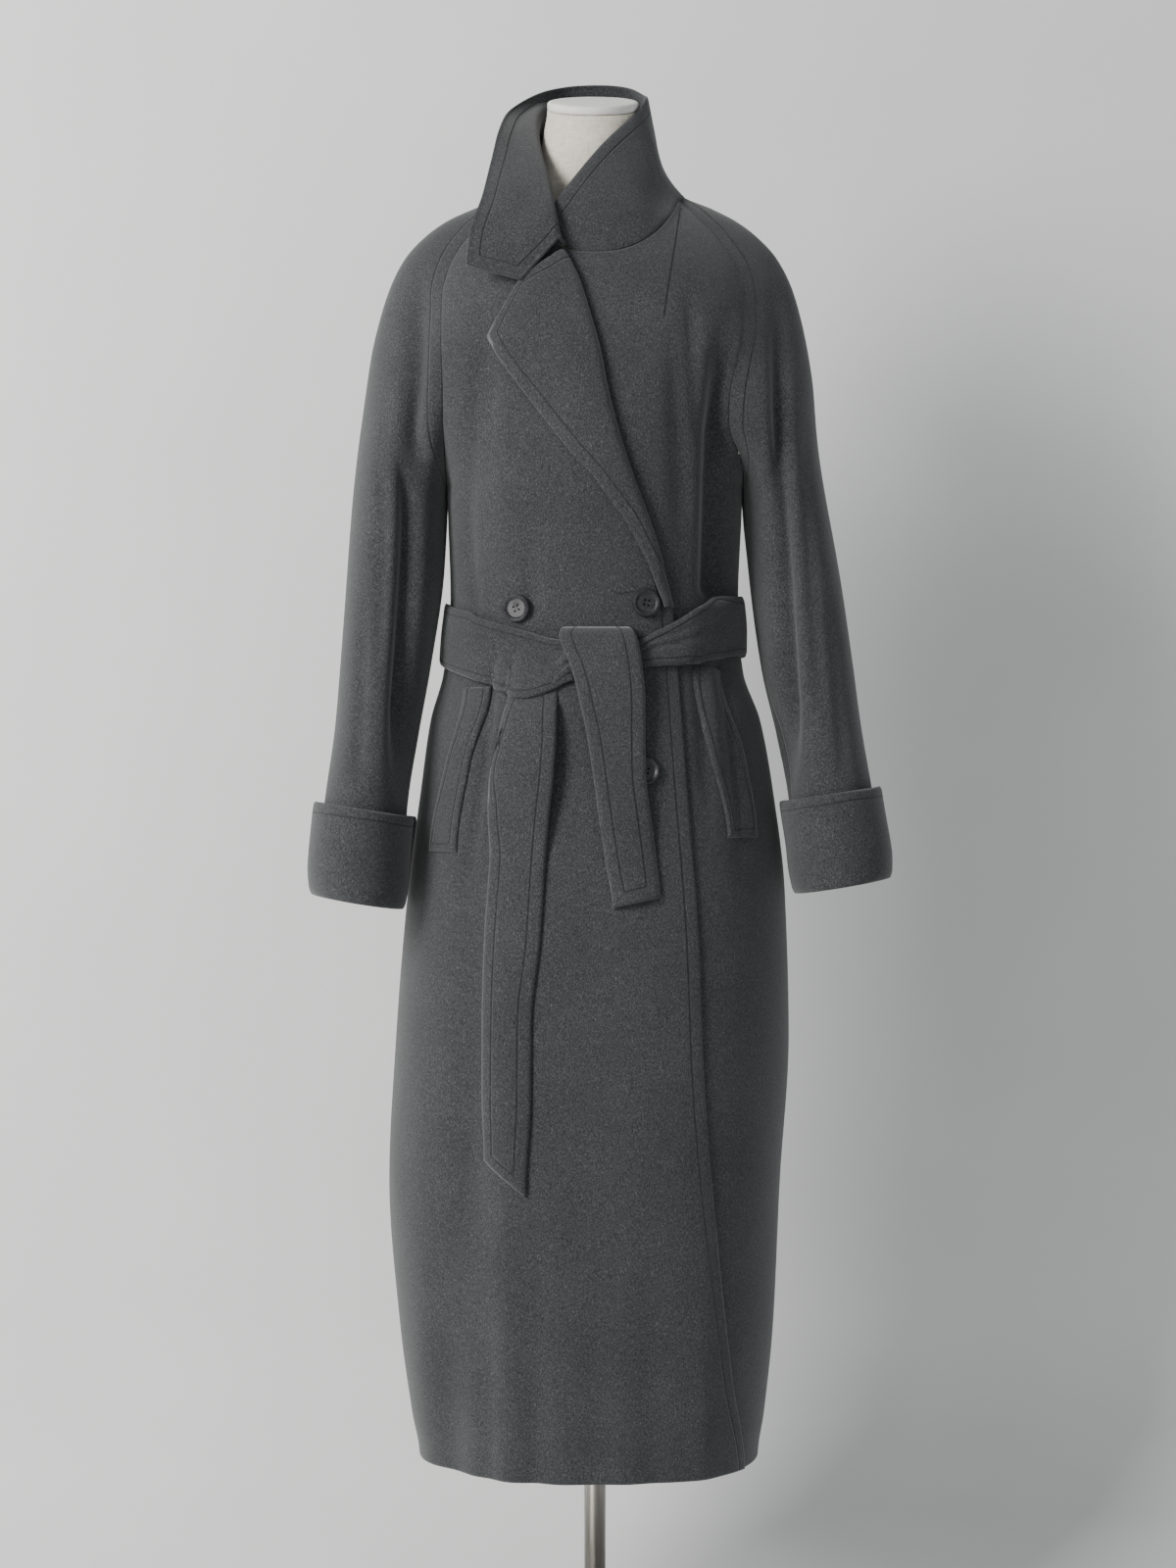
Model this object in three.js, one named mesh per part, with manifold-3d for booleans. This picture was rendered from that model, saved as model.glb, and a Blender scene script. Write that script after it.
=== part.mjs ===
// A long double-breasted raglan coat with a tie belt, worn closed on a limbless dress form.
// Millimetres, +Z up. The origin is on the floor under the pole. The coat faces -Y, so the
// wearer's right is -X. Every panel of cloth is a wall, thickened inwards from its outer face.

import * as THREE from "three";
import { mergeVertices } from "three/addons/utils/BufferGeometryUtils.js";
import Module from "manifold-3d";

const wasm = await Module();
wasm.setup();

// ---- driving dimensions -------------------------------------------------------------------

const CLOTH = 2.6; // one layer of coating wool
const SEAM = 0.3; // gap between two pieces at a seam
const REST = 0.6; // gap under a piece that lies on another
const OVERLAY = CLOTH + REST; // how far the right front stands out over the left one
const HEM = 228;
const ARMPIT = 1205;
const ARMHOLE_RISE = 95; // height in which the armhole turns from its floor to its side
const NECKLINE = 1506; // height of the neckline at the side of the neck
const SQUARE = 2.35; // exponent of the body's rings: 2 is an ellipse, more is squarer
const DROP_POWER = 1.6; // how the rings of the shoulder sink from the side to the front
const LEFT_EDGE = -75; // the hidden front edge of the left front
const LYING = 0.8; // gap under a piece that lies over a curved panel
const BELT_EASE = 2; // gap under the belt, which bridges the flats of the body
const FOOT_GAP = 2.4; // gap under the collar's foot
const BELT_CLOTH = 4; // the belt is two layers, pressed
const CUFF_HEIGHT = 90;
const WRIST = { right: 791, left: 805 };
const BUTTON_RADIUS = 14;
const BUTTON_HEIGHT = 4.4;
const POLE_RADIUS = 11;
const BASE_RADIUS = 170;
const BASE_HEIGHT = 9;
const FORM_BOTTOM = 762;

const colours = {
  wool: new THREE.MeshStandardMaterial({ color: 0x4a4c4e, roughness: 0.95, metalness: 0 }),
  horn: new THREE.MeshStandardMaterial({ color: 0x35363a, roughness: 0.3, metalness: 0 }),
  linen: new THREE.MeshStandardMaterial({ color: 0xd8d2c4, roughness: 0.9, metalness: 0 }),
  cap: new THREE.MeshStandardMaterial({ color: 0xe4e2dc, roughness: 0.6, metalness: 0 }),
  steel: new THREE.MeshStandardMaterial({ color: 0xa8a49e, roughness: 0.35, metalness: 1 }),
};

// ---- tables -------------------------------------------------------------------------------

const table = (names, rows) => {
  const keys = names.split(" ");
  return rows.map((row) => Object.fromEntries(keys.map((key, i) => [key, row[i]])));
};

// Half widths of the body below the armpit.
const WIDTH = table("h right left", [
  [228, 179, 166],
  [270, 186, 172],
  [358, 198, 181],
  [505, 209, 188],
  [650, 202, 197],
  [797, 190, 193],
  [899, 177, 181],
  [970, 167, 168],
  [1018, 154, 151],
  [1055, 150, 147],
  [1092, 147, 146],
  [1205, 150, 150],
]);

// Depths of the body before and behind the pole, and how far its rings sink there.
const DEPTH = table("h front back sinkFront sinkBack", [
  [228, 150, 150, 0, 0],
  [358, 160, 158, 0, 0],
  [505, 165, 164, 0, 0],
  [650, 167, 164, 0, 0],
  [797, 160, 157, 0, 0],
  [899, 149, 147, 0, 0],
  [970, 139, 135, 0, 0],
  [1018, 126, 117, 0, 0],
  [1055, 119, 109, 0, 0],
  [1092, 119, 110, 0, 0],
  [1140, 125, 114, 0, 0],
  [1205, 131, 118, 0, 0],
  [1270, 129, 119, 15, 2],
  [1340, 124, 116, 30, 3],
  [1410, 116, 105, 52, 4],
  [1463, 108, 90, 70, 1],
  [1492, 101, 77, 78, -8],
  [1506, 95, 68, 76, -22],
]);

// The raglan seams above the armpit, in front and behind: half widths and depths.
const RAGLAN = table("h right left front rear back", [
  [1205, 150, 150, -80, 150, 78],
  [1270, 151, 132, -84, 151, 80],
  [1305, 151, 134, -86, 152, 80],
  [1340, 152, 141, -84, 152, 78],
  [1375, 153, 148, -78, 150, 72],
  [1410, 153, 149, -66, 144, 64],
  [1440, 147, 143, -56, 133, 56],
  [1463, 136, 130, -50, 118, 50],
  [1480, 122, 116, -44, 104, 46],
  [1492, 108, 103, -38, 91, 43],
  [1506, 86, 86, -26, 74, 36],
]);

// The sleeves from wrist to neckline: outer edge, inner edge below the armpit, the depth of
// the tube, the depth of its centre, how much its rim leans up outwards.
const SLEEVE = table("h outRight outLeft inRight inLeft deep centre lean", [
  [790, 279, 291, 192, 200, 58, -80, 9],
  [890, 268, 276, 187, 194, 61, -66, 8],
  [960, 260, 266, 177, 182, 66, -48, 6],
  [1025, 256, 259, 166, 168, 71, -33, 4],
  [1125, 251, 247, 153, 156, 77, -9, 1],
  [1205, 246, 233, 150, 150, 82, 0, 0],
  [1255, 240, 226, 150, 150, 86, 0, 0],
  [1305, 233, 223, 150, 150, 88, 0, 0],
  [1340, 228, 218, 150, 150, 86, 0, 0],
  [1375, 220, 211, 150, 150, 80, 0, 0],
  [1410, 209, 201, 150, 150, 70, 0, 0],
  [1440, 194, 186, 150, 150, 60, 1, 0],
  [1463, 173, 165, 150, 150, 52, 1, 0],
  [1480, 149, 142, 150, 150, 46, 2, 0],
  [1492, 122, 118, 150, 150, 40, 3, 0],
  [1506, 87, 87, 150, 150, 31, 4, 0],
]);

// The free edge of the right front below the belt, and the roll line of its lapel above.
const FRONT_EDGE = table("h x", [
  [228, 146],
  [320, 133],
  [441, 119],
  [622, 104],
  [754, 99],
  [905, 88],
  [1000, 81],
  [1077, 75],
  [1134, 60],
  [1211, 33],
  [1283, 12],
  [1366, -7],
  [1440, -19],
  [1506, -31],
]);

// Folds of the body: where each starts and ends, its place there, its width and its depth.
const FOLDS = table("side low high xLow xHigh wide deep", [
  ["front", 1088, 1350, 121, 134, 12, 20],
  ["front", 150, 980, -136, -108, 20, 6],
  ["back", 150, 990, -120, -62, 30, 9],
  ["back", 150, 970, -48, -22, 26, 7],
  ["back", 150, 1000, 40, 24, 30, 9],
  ["back", 150, 985, 118, 74, 28, 8],
  ["back", 1085, 1330, -70, -52, 24, 6],
  ["back", 1085, 1310, 66, 48, 24, 6],
]);

// Troughs down the sleeves: place along the section, from the front edge to the back edge.
const TROUGHS = table("side low high atLow atHigh wide deep", [
  ["right", 905, 1430, 0.2, 0.3, 0.045, 13],
  ["left", 905, 1420, 0.17, 0.27, 0.04, 11],
  ["right", 930, 1400, 0.83, 0.74, 0.05, 8],
  ["left", 930, 1400, 0.83, 0.74, 0.05, 8],
]);

// The lapel: its roll line and its free edge, from the waist up to the notch.
const LAPEL = table("rollX rollZ edgeX edgeZ", [
  [73, 1080, 64, 1079],
  [60, 1134, 51, 1119],
  [46, 1176, 29, 1161],
  [33, 1211, -1, 1203],
  [20, 1252, -26, 1230],
  [10, 1292, -52, 1264],
  [3, 1329, -80, 1302],
  [-7, 1366, -105, 1342],
  [-19, 1405, -89, 1370],
  [-30, 1428, -74, 1395],
]);

// The collar from its right front end round the back of the neck to its left end. Its foot
// stands on the neckline, at a given x on a body panel or a given place along a sleeve; the
// other columns are the roll, the middle of the fall and the free edge.
const COLLAR = table("foot at rollX rollY rollZ midX midY midZ edgeX edgeY edgeZ", [
  ["frontRight", -31, -36, -105, 1440, -73, -112, 1398, -127, -110, 1413],
  ["frontRight", -50, -42, -98, 1470, -80, -106, 1443, -123, -100, 1450],
  ["frontRight", -72, -47, -70, 1505, -80, -86, 1487, -112, -82, 1485],
  ["sleeveRight", 0.2, -55, -38, 1538, -84, -54, 1528, -104, -54, 1527],
  ["sleeveRight", 0.5, -59, -8, 1565, -82, -22, 1562, -98, -26, 1564],
  ["sleeveRight", 0.9, -56, 22, 1588, -74, 14, 1590, -88, 8, 1593],
  ["back", -50, -42, 46, 1595, -55, 38, 1610, -62, 30, 1616],
  ["back", -18, -18, 62, 1585, -24, 61, 1608, -30, 54, 1630],
  ["back", 18, 20, 65, 1575, 16, 63, 1604, 8, 59, 1633],
  ["back", 50, 47, 54, 1565, 43, 54, 1597, 36, 50, 1628],
  ["sleeveLeft", 0.85, 66, 32, 1545, 60, 32, 1580, 52, 28, 1615],
  ["sleeveLeft", 0.5, 70, 6, 1535, 61, 5, 1570, 54, 4, 1607],
  ["sleeveLeft", 0.12, 71, -22, 1520, 60, -18, 1556, 47, -14, 1594],
  ["frontLeft", 84, 68, -38, 1506, 56, -32, 1543, 41, -25, 1584],
  ["frontLeft", 76, 62, -52, 1492, 50, -45, 1530, 33, -36, 1574],
  ["frontLeft", 52, 42, -77, 1478, 26, -69, 1510, 8, -58, 1546],
  ["frontLeft", 20, 13, -91, 1462, 0, -86, 1486, -18, -76, 1512],
  ["frontLeft", -14, -18, -95, 1446, -28, -93, 1462, -42, -88, 1478],
]);

// The belt's two edges, in degrees round the body from the front over the wearer's right.
const BELT = table("turn top bottom", [
  [7, 1043, 1003],
  [13, 1046, 992],
  [21, 1053, 986],
  [37, 1064, 1000],
  [62, 1079, 1016],
  [90, 1089, 1027],
  [180, 1092, 1030],
  [270, 1095, 1034],
  [300, 1090, 1031],
  [320, 1080, 1024],
  [332, 1065, 1019],
  [340, 1055, 1018],
  [347, 1045, 1017],
]);

// The belt's hanging ends: their two edges and how far they stand out over the front.
const SHORT_TAIL = table("z from to out", [
  [790, 16, 61, 0],
  [829, 10, 58, 0],
  [867, 4, 56, 3.5],
  [917, -3, 54, 7],
  [950, -8, 50, 7.5],
  [981, -15, 46, 9.5],
  [1015, -22, 43, 10.5],
  [1048, -34, 38, 10.5],
]);
const LONG_TAIL = table("z from to out", [
  [525, -105, -66, 0],
  [603, -107, -61, 0],
  [679, -107, -60, 0],
  [754, -105, -52, 0],
  [830, -100, -47, 0],
  [870, -98, -43, 5],
  [914, -96, -38, 8],
  [951, -94, -36, 6],
  [983, -86, -36, 3],
]);

// Slanted pocket welts: inner and outer edge.
const POCKET_LEFT = table("z from to", [
  [852, 129, 159],
  [930, 113, 148],
  [1014, 96, 127],
]);
const POCKET_RIGHT = table("z from to", [
  [838, -163, -135],
  [925, -147, -122],
  [994, -129, -103],
]);

// Sections of the dress form: half width, depths, middle, and how its top leans forward.
const FORM = table("z wide front back x y lean", [
  [762, 136, 96, 96, 0, 0, 0],
  [776, 152, 106, 106, 0, 0, 0],
  [860, 158, 112, 112, 0, 0, 0],
  [950, 138, 100, 98, 0, 0, 0],
  [1018, 118, 90, 84, 0, 0, 0],
  [1055, 113, 87, 80, 0, 0, 0],
  [1100, 113, 88, 82, 0, 0, 0],
  [1160, 122, 97, 88, 0, 0, 0],
  [1230, 133, 103, 92, 0, 0, 0],
  [1300, 146, 103, 92, 0, 0, 0],
  [1360, 162, 92, 86, 0, 0, 0],
  [1405, 168, 80, 78, 0, 2, 0],
  [1440, 164, 64, 66, 0, 4, 0],
  [1463, 152, 54, 58, 0, 5, 0],
  [1480, 131, 48, 54, 0, 5, 0],
  [1491, 112, 48, 52, 0, 5, 0],
  [1499, 94, 49, 52, 0, 5, 0],
  [1507, 74, 51, 52, -1, 4, 0],
  [1522, 62, 53, 53, -1, 4, 0.06],
  [1550, 54, 53, 53, -2, 3, 0.2],
  [1575, 49, 48, 48, -2, 1, 0.32],
  [1592, 46.5, 46, 46, -2, 0, 0.36],
]);

const BUTTONS = table("name x z", [
  ["button_top_right", -75, 1077],
  ["button_top_left", 49, 1082],
  ["button_low_right", -74, 914],
  ["button_low_left", 48, 917],
]);

// ---- small mathematics --------------------------------------------------------------------

const V = (x, y, z) => new THREE.Vector3(x, y, z);
const mix = THREE.MathUtils.lerp;
const clamp01 = (x) => THREE.MathUtils.clamp(x, 0, 1);
const step = (x, from, to) => THREE.MathUtils.smoothstep((x - from) / (to - from), 0, 1);

// The slope of a table's column at a row, kept between the slopes on its two sides.
function slope(rows, i, column) {
  if (i === 0 || i === rows.length - 1) return 0;
  const key = Object.keys(rows[0])[0];
  const below = rows[i][key] - rows[i - 1][key];
  const above = rows[i + 1][key] - rows[i][key];
  const under = (rows[i][column] - rows[i - 1][column]) / below;
  const over = (rows[i + 1][column] - rows[i][column]) / above;
  if (under * over <= 0) return 0;
  return (3 * (below + above)) / ((2 * above + below) / under + (above + 2 * below) / over);
}

// A smooth reading of one column, between the rows of a table that is keyed by its first.
function read(rows, at, column) {
  const key = Object.keys(rows[0])[0];
  const last = rows.length - 1;
  if (at <= rows[0][key]) return rows[0][column];
  if (at >= rows[last][key]) return rows[last][column];
  const i = rows.findIndex((row) => row[key] > at) - 1;
  const span = rows[i + 1][key] - rows[i][key];
  const t = (at - rows[i][key]) / span;
  const t2 = t * t;
  const t3 = t2 * t;
  return (
    (2 * t3 - 3 * t2 + 1) * rows[i][column] +
    (t3 - 2 * t2 + t) * span * slope(rows, i, column) +
    (3 * t2 - 2 * t3) * rows[i + 1][column] +
    (t3 - t2) * span * slope(rows, i + 1, column)
  );
}

// A smooth curve through four points that stand at equal steps.
function through(points, t) {
  const at = clamp01(t) * (points.length - 1);
  const i = Math.min(Math.floor(at), points.length - 2);
  const f = at - i;
  const a = points[Math.max(i - 1, 0)];
  const b = points[i];
  const c = points[i + 1];
  const d = points[Math.min(i + 2, points.length - 1)];
  const blend = (p, q, r, s) =>
    0.5 * (2 * q + (r - p) * f + (2 * p - 5 * q + 4 * r - s) * f * f + (3 * q - p - 3 * r + s) * f ** 3);
  return V(blend(a.x, b.x, c.x, d.x), blend(a.y, b.y, c.y, d.y), blend(a.z, b.z, c.z, d.z));
}

function cubic(p0, p1, p2, p3, t) {
  const s = 1 - t;
  return V(0, 0, 0)
    .addScaledVector(p0, s * s * s)
    .addScaledVector(p1, 3 * s * s * t)
    .addScaledVector(p2, 3 * s * t * t)
    .addScaledVector(p3, t * t * t);
}

// ---- the body's surface -------------------------------------------------------------------

const armhole = (h) => Math.sqrt(1 - (1 - clamp01((h - ARMPIT) / ARMHOLE_RISE)) ** 2);

// Where a raglan seam runs at a height, as x and y. side is -1 or 1, behind is true or false.
function seam(h, side, behind) {
  const column = behind ? "rear" : side < 0 ? "right" : "left";
  const x = side * mix(read(WIDTH, ARMPIT, "right"), read(RAGLAN, h, column), armhole(h));
  const y = read(RAGLAN, h, behind ? "back" : "front") * armhole(h);
  return { x, y };
}

// The height of a point of a ring: rings above the armpit sink towards the front.
function level(h, y) {
  const depth = read(DEPTH, h, y < 0 ? "front" : "back");
  const sink = read(DEPTH, h, y < 0 ? "sinkFront" : "sinkBack");
  return h - sink * Math.min(Math.abs(y) / depth, 1.1) ** DROP_POWER;
}

// The half width of the ring that passes through the seam, or of the body below the armpit.
function halfWidth(h, side, behind) {
  if (h <= ARMPIT) return read(WIDTH, h, side < 0 ? "right" : "left");
  const at = seam(h, side, behind);
  const depth = read(DEPTH, h, behind ? "back" : "front");
  const rest = 1 - (Math.abs(at.y) / depth) ** SQUARE;
  return Math.abs(at.x) / rest ** (1 / SQUARE);
}

// The turn of a ring, in radians from its middle, at which a panel's seam stands.
function seamTurn(h, side, behind) {
  if (h <= ARMPIT) return (side * Math.PI) / 2;
  const depth = read(DEPTH, h, behind ? "back" : "front");
  return side * Math.acos((Math.abs(seam(h, side, behind).y) / depth) ** (SQUARE / 2));
}

// The turn of a ring at which it has a given x.
function turnAt(h, x, behind) {
  const part = Math.abs(x) / halfWidth(h, Math.sign(x), behind);
  return Math.sign(x) * Math.asin(Math.min(part, 1) ** (SQUARE / 2));
}

// A fold is a soft trough; it fades at both ends and never moves the seams.
function foldDepth(h, x, behind) {
  let depth = 0;
  for (const fold of FOLDS) {
    if ((fold.side === "back") !== behind) continue;
    const t = (h - fold.low) / (fold.high - fold.low);
    const centre = mix(fold.xLow, fold.xHigh, clamp01(t));
    const fade = step(t, 0, 0.12) * (1 - step(t, 0.55, 1));
    depth += fold.deep * fade * Math.exp(-(((x - centre) / fold.wide) ** 2));
  }
  return depth;
}

function bodyPoint(h, turn, behind) {
  const side = turn < 0 ? -1 : 1;
  const depth = read(DEPTH, h, behind ? "back" : "front");
  const wide = halfWidth(h, side, behind);
  const x = side * wide * Math.abs(Math.sin(turn)) ** (2 / SQUARE);
  const y = (behind ? 1 : -1) * depth * Math.abs(Math.cos(turn)) ** (2 / SQUARE);
  const inwards = foldDepth(h, x, behind);
  const nearSeam = step(Math.abs(turn - seamTurn(h, side, behind)), 0, 0.16);
  const away = Math.hypot(x / wide ** 2, y / depth ** 2);
  return V(
    x - (nearSeam * inwards * x) / wide ** 2 / away,
    y - (nearSeam * inwards * y) / depth ** 2 / away,
    level(h, y),
  );
}

// ---- the sleeves' surface -----------------------------------------------------------------

// One half of a sleeve's section, from its seam to its outer edge, as a cubic. The seam end
// heads forwards where the sleeve is a closed tube, and outwards over the shoulder.
function sleeveHalf(h, side, behind, t) {
  const out = side * read(SLEEVE, h, side < 0 ? "outRight" : "outLeft");
  const inner = side * read(SLEEVE, h, side < 0 ? "inRight" : "inLeft");
  const centre = read(SLEEVE, h, "centre");
  const deep = read(SLEEVE, h, "deep");
  const tube = h <= ARMPIT;
  const from = tube ? { x: inner, y: centre } : seam(h, side, behind);
  const wrap = tube ? 1 : (1 - clamp01((h - ARMPIT) / 190)) ** 1.5;
  const away = behind ? 1 : -1;
  const heading = mix(-40, 90, wrap) * (Math.PI / 180);
  const chord = Math.hypot(out - from.x, centre - from.y);
  const round = (4 / 3) * (deep - Math.abs(from.y - centre) / 2);
  const reach = mix(0.38 * chord, round, wrap);
  const p0 = V(from.x, from.y, 0);
  const p3 = V(out, centre, 0);
  const p1 = V(side * Math.cos(heading), away * Math.sin(heading), 0).multiplyScalar(reach).add(p0);
  const p2 = V(0, away * reach, 0).add(p3);
  return cubic(p0, p1, p2, p3, t);
}

// A point of a sleeve: at 0 on its front edge, at 0.5 outermost, at 1 on its back edge.
function sleevePoint(h, side, along) {
  const behind = along > 0.5;
  const at = behind ? 2 - 2 * along : 2 * along;
  const point = sleeveHalf(h, side, behind, at);
  const ahead = sleeveHalf(h, side, behind, Math.min(at + 0.01, 1));
  const before = sleeveHalf(h, side, behind, Math.max(at - 0.01, 0));
  const run = ahead.sub(before).normalize();
  const turned = V(run.y, -run.x, 0).multiplyScalar(behind ? -side : side);
  let inwards = 0;
  for (const trough of TROUGHS) {
    if ((trough.side === "right") !== side < 0) continue;
    const t = (h - trough.low) / (trough.high - trough.low);
    const centreAt = mix(trough.atLow, trough.atHigh, clamp01(t));
    const fade = step(t, 0, 0.2) * (1 - step(t, 0.6, 1));
    inwards += trough.deep * fade * Math.exp(-(((along - centreAt) / trough.wide) ** 2));
  }
  point.addScaledVector(turned, -inwards);
  const middle = (side * (read(SLEEVE, h, "outLeft") + read(SLEEVE, h, "inLeft"))) / 2;
  const lean = (read(SLEEVE, h, "lean") / 50) * side * (point.x - middle);
  point.z = h > ARMPIT ? level(h, point.y) : h + lean;
  return point;
}

// ---- walls of cloth -----------------------------------------------------------------------

// A sheet holds a grid of points, row by row, the outward direction at each, and the small
// shift that opens its seams.
function sheet(rows, flip = false) {
  const height = rows.length;
  const width = rows[0].length;
  const normals = rows.map((row, r) =>
    row.map((_, c) => {
      const along = row[Math.min(c + 1, width - 1)].clone().sub(row[Math.max(c - 1, 0)]);
      const up = rows[Math.min(r + 1, height - 1)][c].clone().sub(rows[Math.max(r - 1, 0)][c]);
      return along.cross(up).normalize().multiplyScalar(flip ? -1 : 1);
    }),
  );
  const shifts = rows.map((row) => row.map(() => V(0, 0, 0)));
  return { rows, normals, shifts, flip };
}

// Sews two edges row by row: both take one common direction and stand half a gap back.
// pull leans that direction down at the floor of an armhole, where the two sides oppose.
function sew(a, columnA, b, columnB, firstA, firstB, count, pull = () => 0) {
  const inside = (s, r, c) => s.rows[r][c ? c - 1 : 1].clone().sub(s.rows[r][c]).normalize();
  for (let i = 0; i < count; i++) {
    const rowA = firstA + i;
    const rowB = firstB + i;
    const normalA = a.normals[rowA][columnA];
    const normalB = b.normals[rowB][columnB];
    const apart = inside(a, rowA, columnA).sub(inside(b, rowB, columnB));
    apart.add(normalB).sub(normalA).normalize().multiplyScalar(SEAM / 2);
    const common = normalA.clone().add(normalB);
    common.z -= pull(i);
    common.normalize();
    a.normals[rowA][columnA] = common;
    b.normals[rowB][columnB] = common.clone();
    a.shifts[rowA][columnA].add(apart);
    b.shifts[rowB][columnB].sub(apart);
  }
}

// Closes a sheet into a wall between two distances out from its points.
function wall(s, outer = () => 0, thick = CLOTH) {
  const height = s.rows.length;
  const width = s.rows[0].length;
  const positions = [];
  for (const face of [0, 1]) {
    for (let r = 0; r < height; r++) {
      for (let c = 0; c < width; c++) {
        const p = s.rows[r][c].clone().add(s.shifts[r][c]);
        p.addScaledVector(s.normals[r][c], outer(p, r, c) - face * thick);
        positions.push(p.x, p.y, p.z);
      }
    }
  }
  const faces = [];
  const quad = (a, b, c, d) => {
    if (s.flip) faces.push(a, c, b, a, d, c);
    else faces.push(a, b, c, a, c, d);
  };
  const at = (face, r, c) => face * height * width + r * width + c;
  for (let r = 0; r + 1 < height; r++) {
    for (let c = 0; c + 1 < width; c++) {
      quad(at(0, r, c), at(0, r, c + 1), at(0, r + 1, c + 1), at(0, r + 1, c));
      quad(at(1, r, c), at(1, r + 1, c), at(1, r + 1, c + 1), at(1, r, c + 1));
    }
  }
  for (let r = 0; r + 1 < height; r++) {
    const last = width - 1;
    quad(at(0, r, 0), at(0, r + 1, 0), at(1, r + 1, 0), at(1, r, 0));
    quad(at(0, r, last), at(1, r, last), at(1, r + 1, last), at(0, r + 1, last));
  }
  for (let c = 0; c + 1 < width; c++) {
    const last = height - 1;
    quad(at(0, 0, c), at(1, 0, c), at(1, 0, c + 1), at(0, 0, c + 1));
    quad(at(0, last, c), at(0, last, c + 1), at(1, last, c + 1), at(1, last, c));
  }
  const geometry = new THREE.BufferGeometry();
  geometry.setAttribute("position", new THREE.Float32BufferAttribute(positions, 3));
  geometry.setIndex(faces);
  return geometry;
}

// Columns that run between named lines of a panel, with a number of steps between each two.
function spread(lines, steps) {
  const columns = [lines[0]];
  steps.forEach((count, i) => {
    for (let k = 1; k <= count; k++) columns.push(mix(lines[i], lines[i + 1], k / count));
  });
  return columns;
}

const evenly = (count) => Array.from({ length: count + 1 }, (_, i) => i / count);

// ---- the panels ---------------------------------------------------------------------------

const SKIRT_ROWS = [HEM, 300, 380, 470, 570, 680, 790, 880, 950, 995, 1022, 1055, 1088, 1122, 1163];
const YOKE_ROWS = [ARMPIT, 1211, 1226, 1250, 1283, 1320, 1360, 1400, 1434, 1461, 1481, 1495, NECKLINE];
const ARM_ROWS = [850, 905, 975, 1045, 1110, 1163];
const BODY_ROWS = [...SKIRT_ROWS, ...YOKE_ROWS];
const sleeveRows = (wrist) => [wrist + 2, wrist + 12, ...ARM_ROWS, ...YOKE_ROWS];

const back = sheet(
  BODY_ROWS.map((h) =>
    spread([seamTurn(h, -1, true), 0, seamTurn(h, 1, true)], [7, 7]).map((t) => bodyPoint(h, t, true)),
  ),
  true,
);

// Where the two fronts overlap they share their columns, so that one lies true on the other.
const UNDERLAP_STEPS = 8;
const edgeTurn = (h) => turnAt(h, read(FRONT_EDGE, h, "x"), false);
const hiddenTurn = (h) => turnAt(h, LEFT_EDGE, false);

const frontRight = sheet(
  BODY_ROWS.map((h) =>
    spread([seamTurn(h, -1, false), hiddenTurn(h), edgeTurn(h)], [5, UNDERLAP_STEPS]).map((t) =>
      bodyPoint(h, t, false),
    ),
  ),
);

// Beyond the overlap the left front has lines down the middle and the flanks of its deep fold.
const frontLeft = sheet(
  BODY_ROWS.map((h) => {
    const [deepFold] = FOLDS;
    const edge = edgeTurn(h);
    const end = seamTurn(h, 1, false);
    const t = clamp01((h - deepFold.low) / (deepFold.high - deepFold.low));
    const folded = step(h, 950, deepFold.low) * (1 - step(h, deepFold.high - 20, 1400));
    const onFold = turnAt(h, mix(deepFold.xLow, deepFold.xHigh, t), false);
    const middle = mix(mix(edge, end, 0.6), Math.min(onFold, end), folded);
    const near = mix(mix(edge, end, 0.4), middle - 0.14, folded);
    const far = mix(mix(edge, end, 0.8), Math.min(middle + 0.14, mix(middle, end, 0.6)), folded);
    const lines = [hiddenTurn(h), edge, near, middle, far, end];
    return spread(lines, [UNDERLAP_STEPS, 2, 2, 2, 1]).map((turn) => bodyPoint(h, turn, false));
  }),
);

const ALONG = [0, 0.06, 0.12, 0.17, 0.21, 0.25, 0.32, 0.41, 0.5, 0.59, 0.68, 0.77, 0.86, 0.93, 1];
const makeSleeve = (side) =>
  sheet(
    sleeveRows(side < 0 ? WRIST.right : WRIST.left).map((h) =>
      ALONG.map((along) => sleevePoint(h, side, along)),
    ),
    side < 0,
  );
const sleeveRight = makeSleeve(-1);
const sleeveLeft = makeSleeve(1);

const sideRows = SKIRT_ROWS.length + 1;
const yokeRows = YOKE_ROWS.length;
const firstYoke = SKIRT_ROWS.length;
const armRows = ARM_ROWS.length + 2;
const backLast = back.rows[0].length - 1;
const sleeveLast = ALONG.length - 1;
const leftLast = frontLeft.rows[0].length - 1;
const armpitPull = (i) => 0.5 * Math.max(0, 1 - i / 3);

sew(frontRight, 0, back, 0, 0, 0, sideRows);
sew(frontLeft, leftLast, back, backLast, 0, 0, sideRows);
for (const sleeve of [sleeveRight, sleeveLeft]) {
  sew(sleeve, 0, sleeve, sleeveLast, 0, 0, armRows + 1);
}
sew(frontRight, 0, sleeveRight, 0, firstYoke, armRows, yokeRows, armpitPull);
sew(frontLeft, leftLast, sleeveLeft, 0, firstYoke, armRows, yokeRows, armpitPull);
sew(back, 0, sleeveRight, sleeveLast, firstYoke, armRows, yokeRows, armpitPull);
sew(back, backLast, sleeveLeft, sleeveLast, firstYoke, armRows, yokeRows, armpitPull);

// The right front stands out over the left one, and comes back to it before its side seam.
const liftAt = (x) => OVERLAY * step(x, LEFT_EDGE - 38, LEFT_EDGE - 8);

// ---- pieces that lie on the body ----------------------------------------------------------

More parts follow.
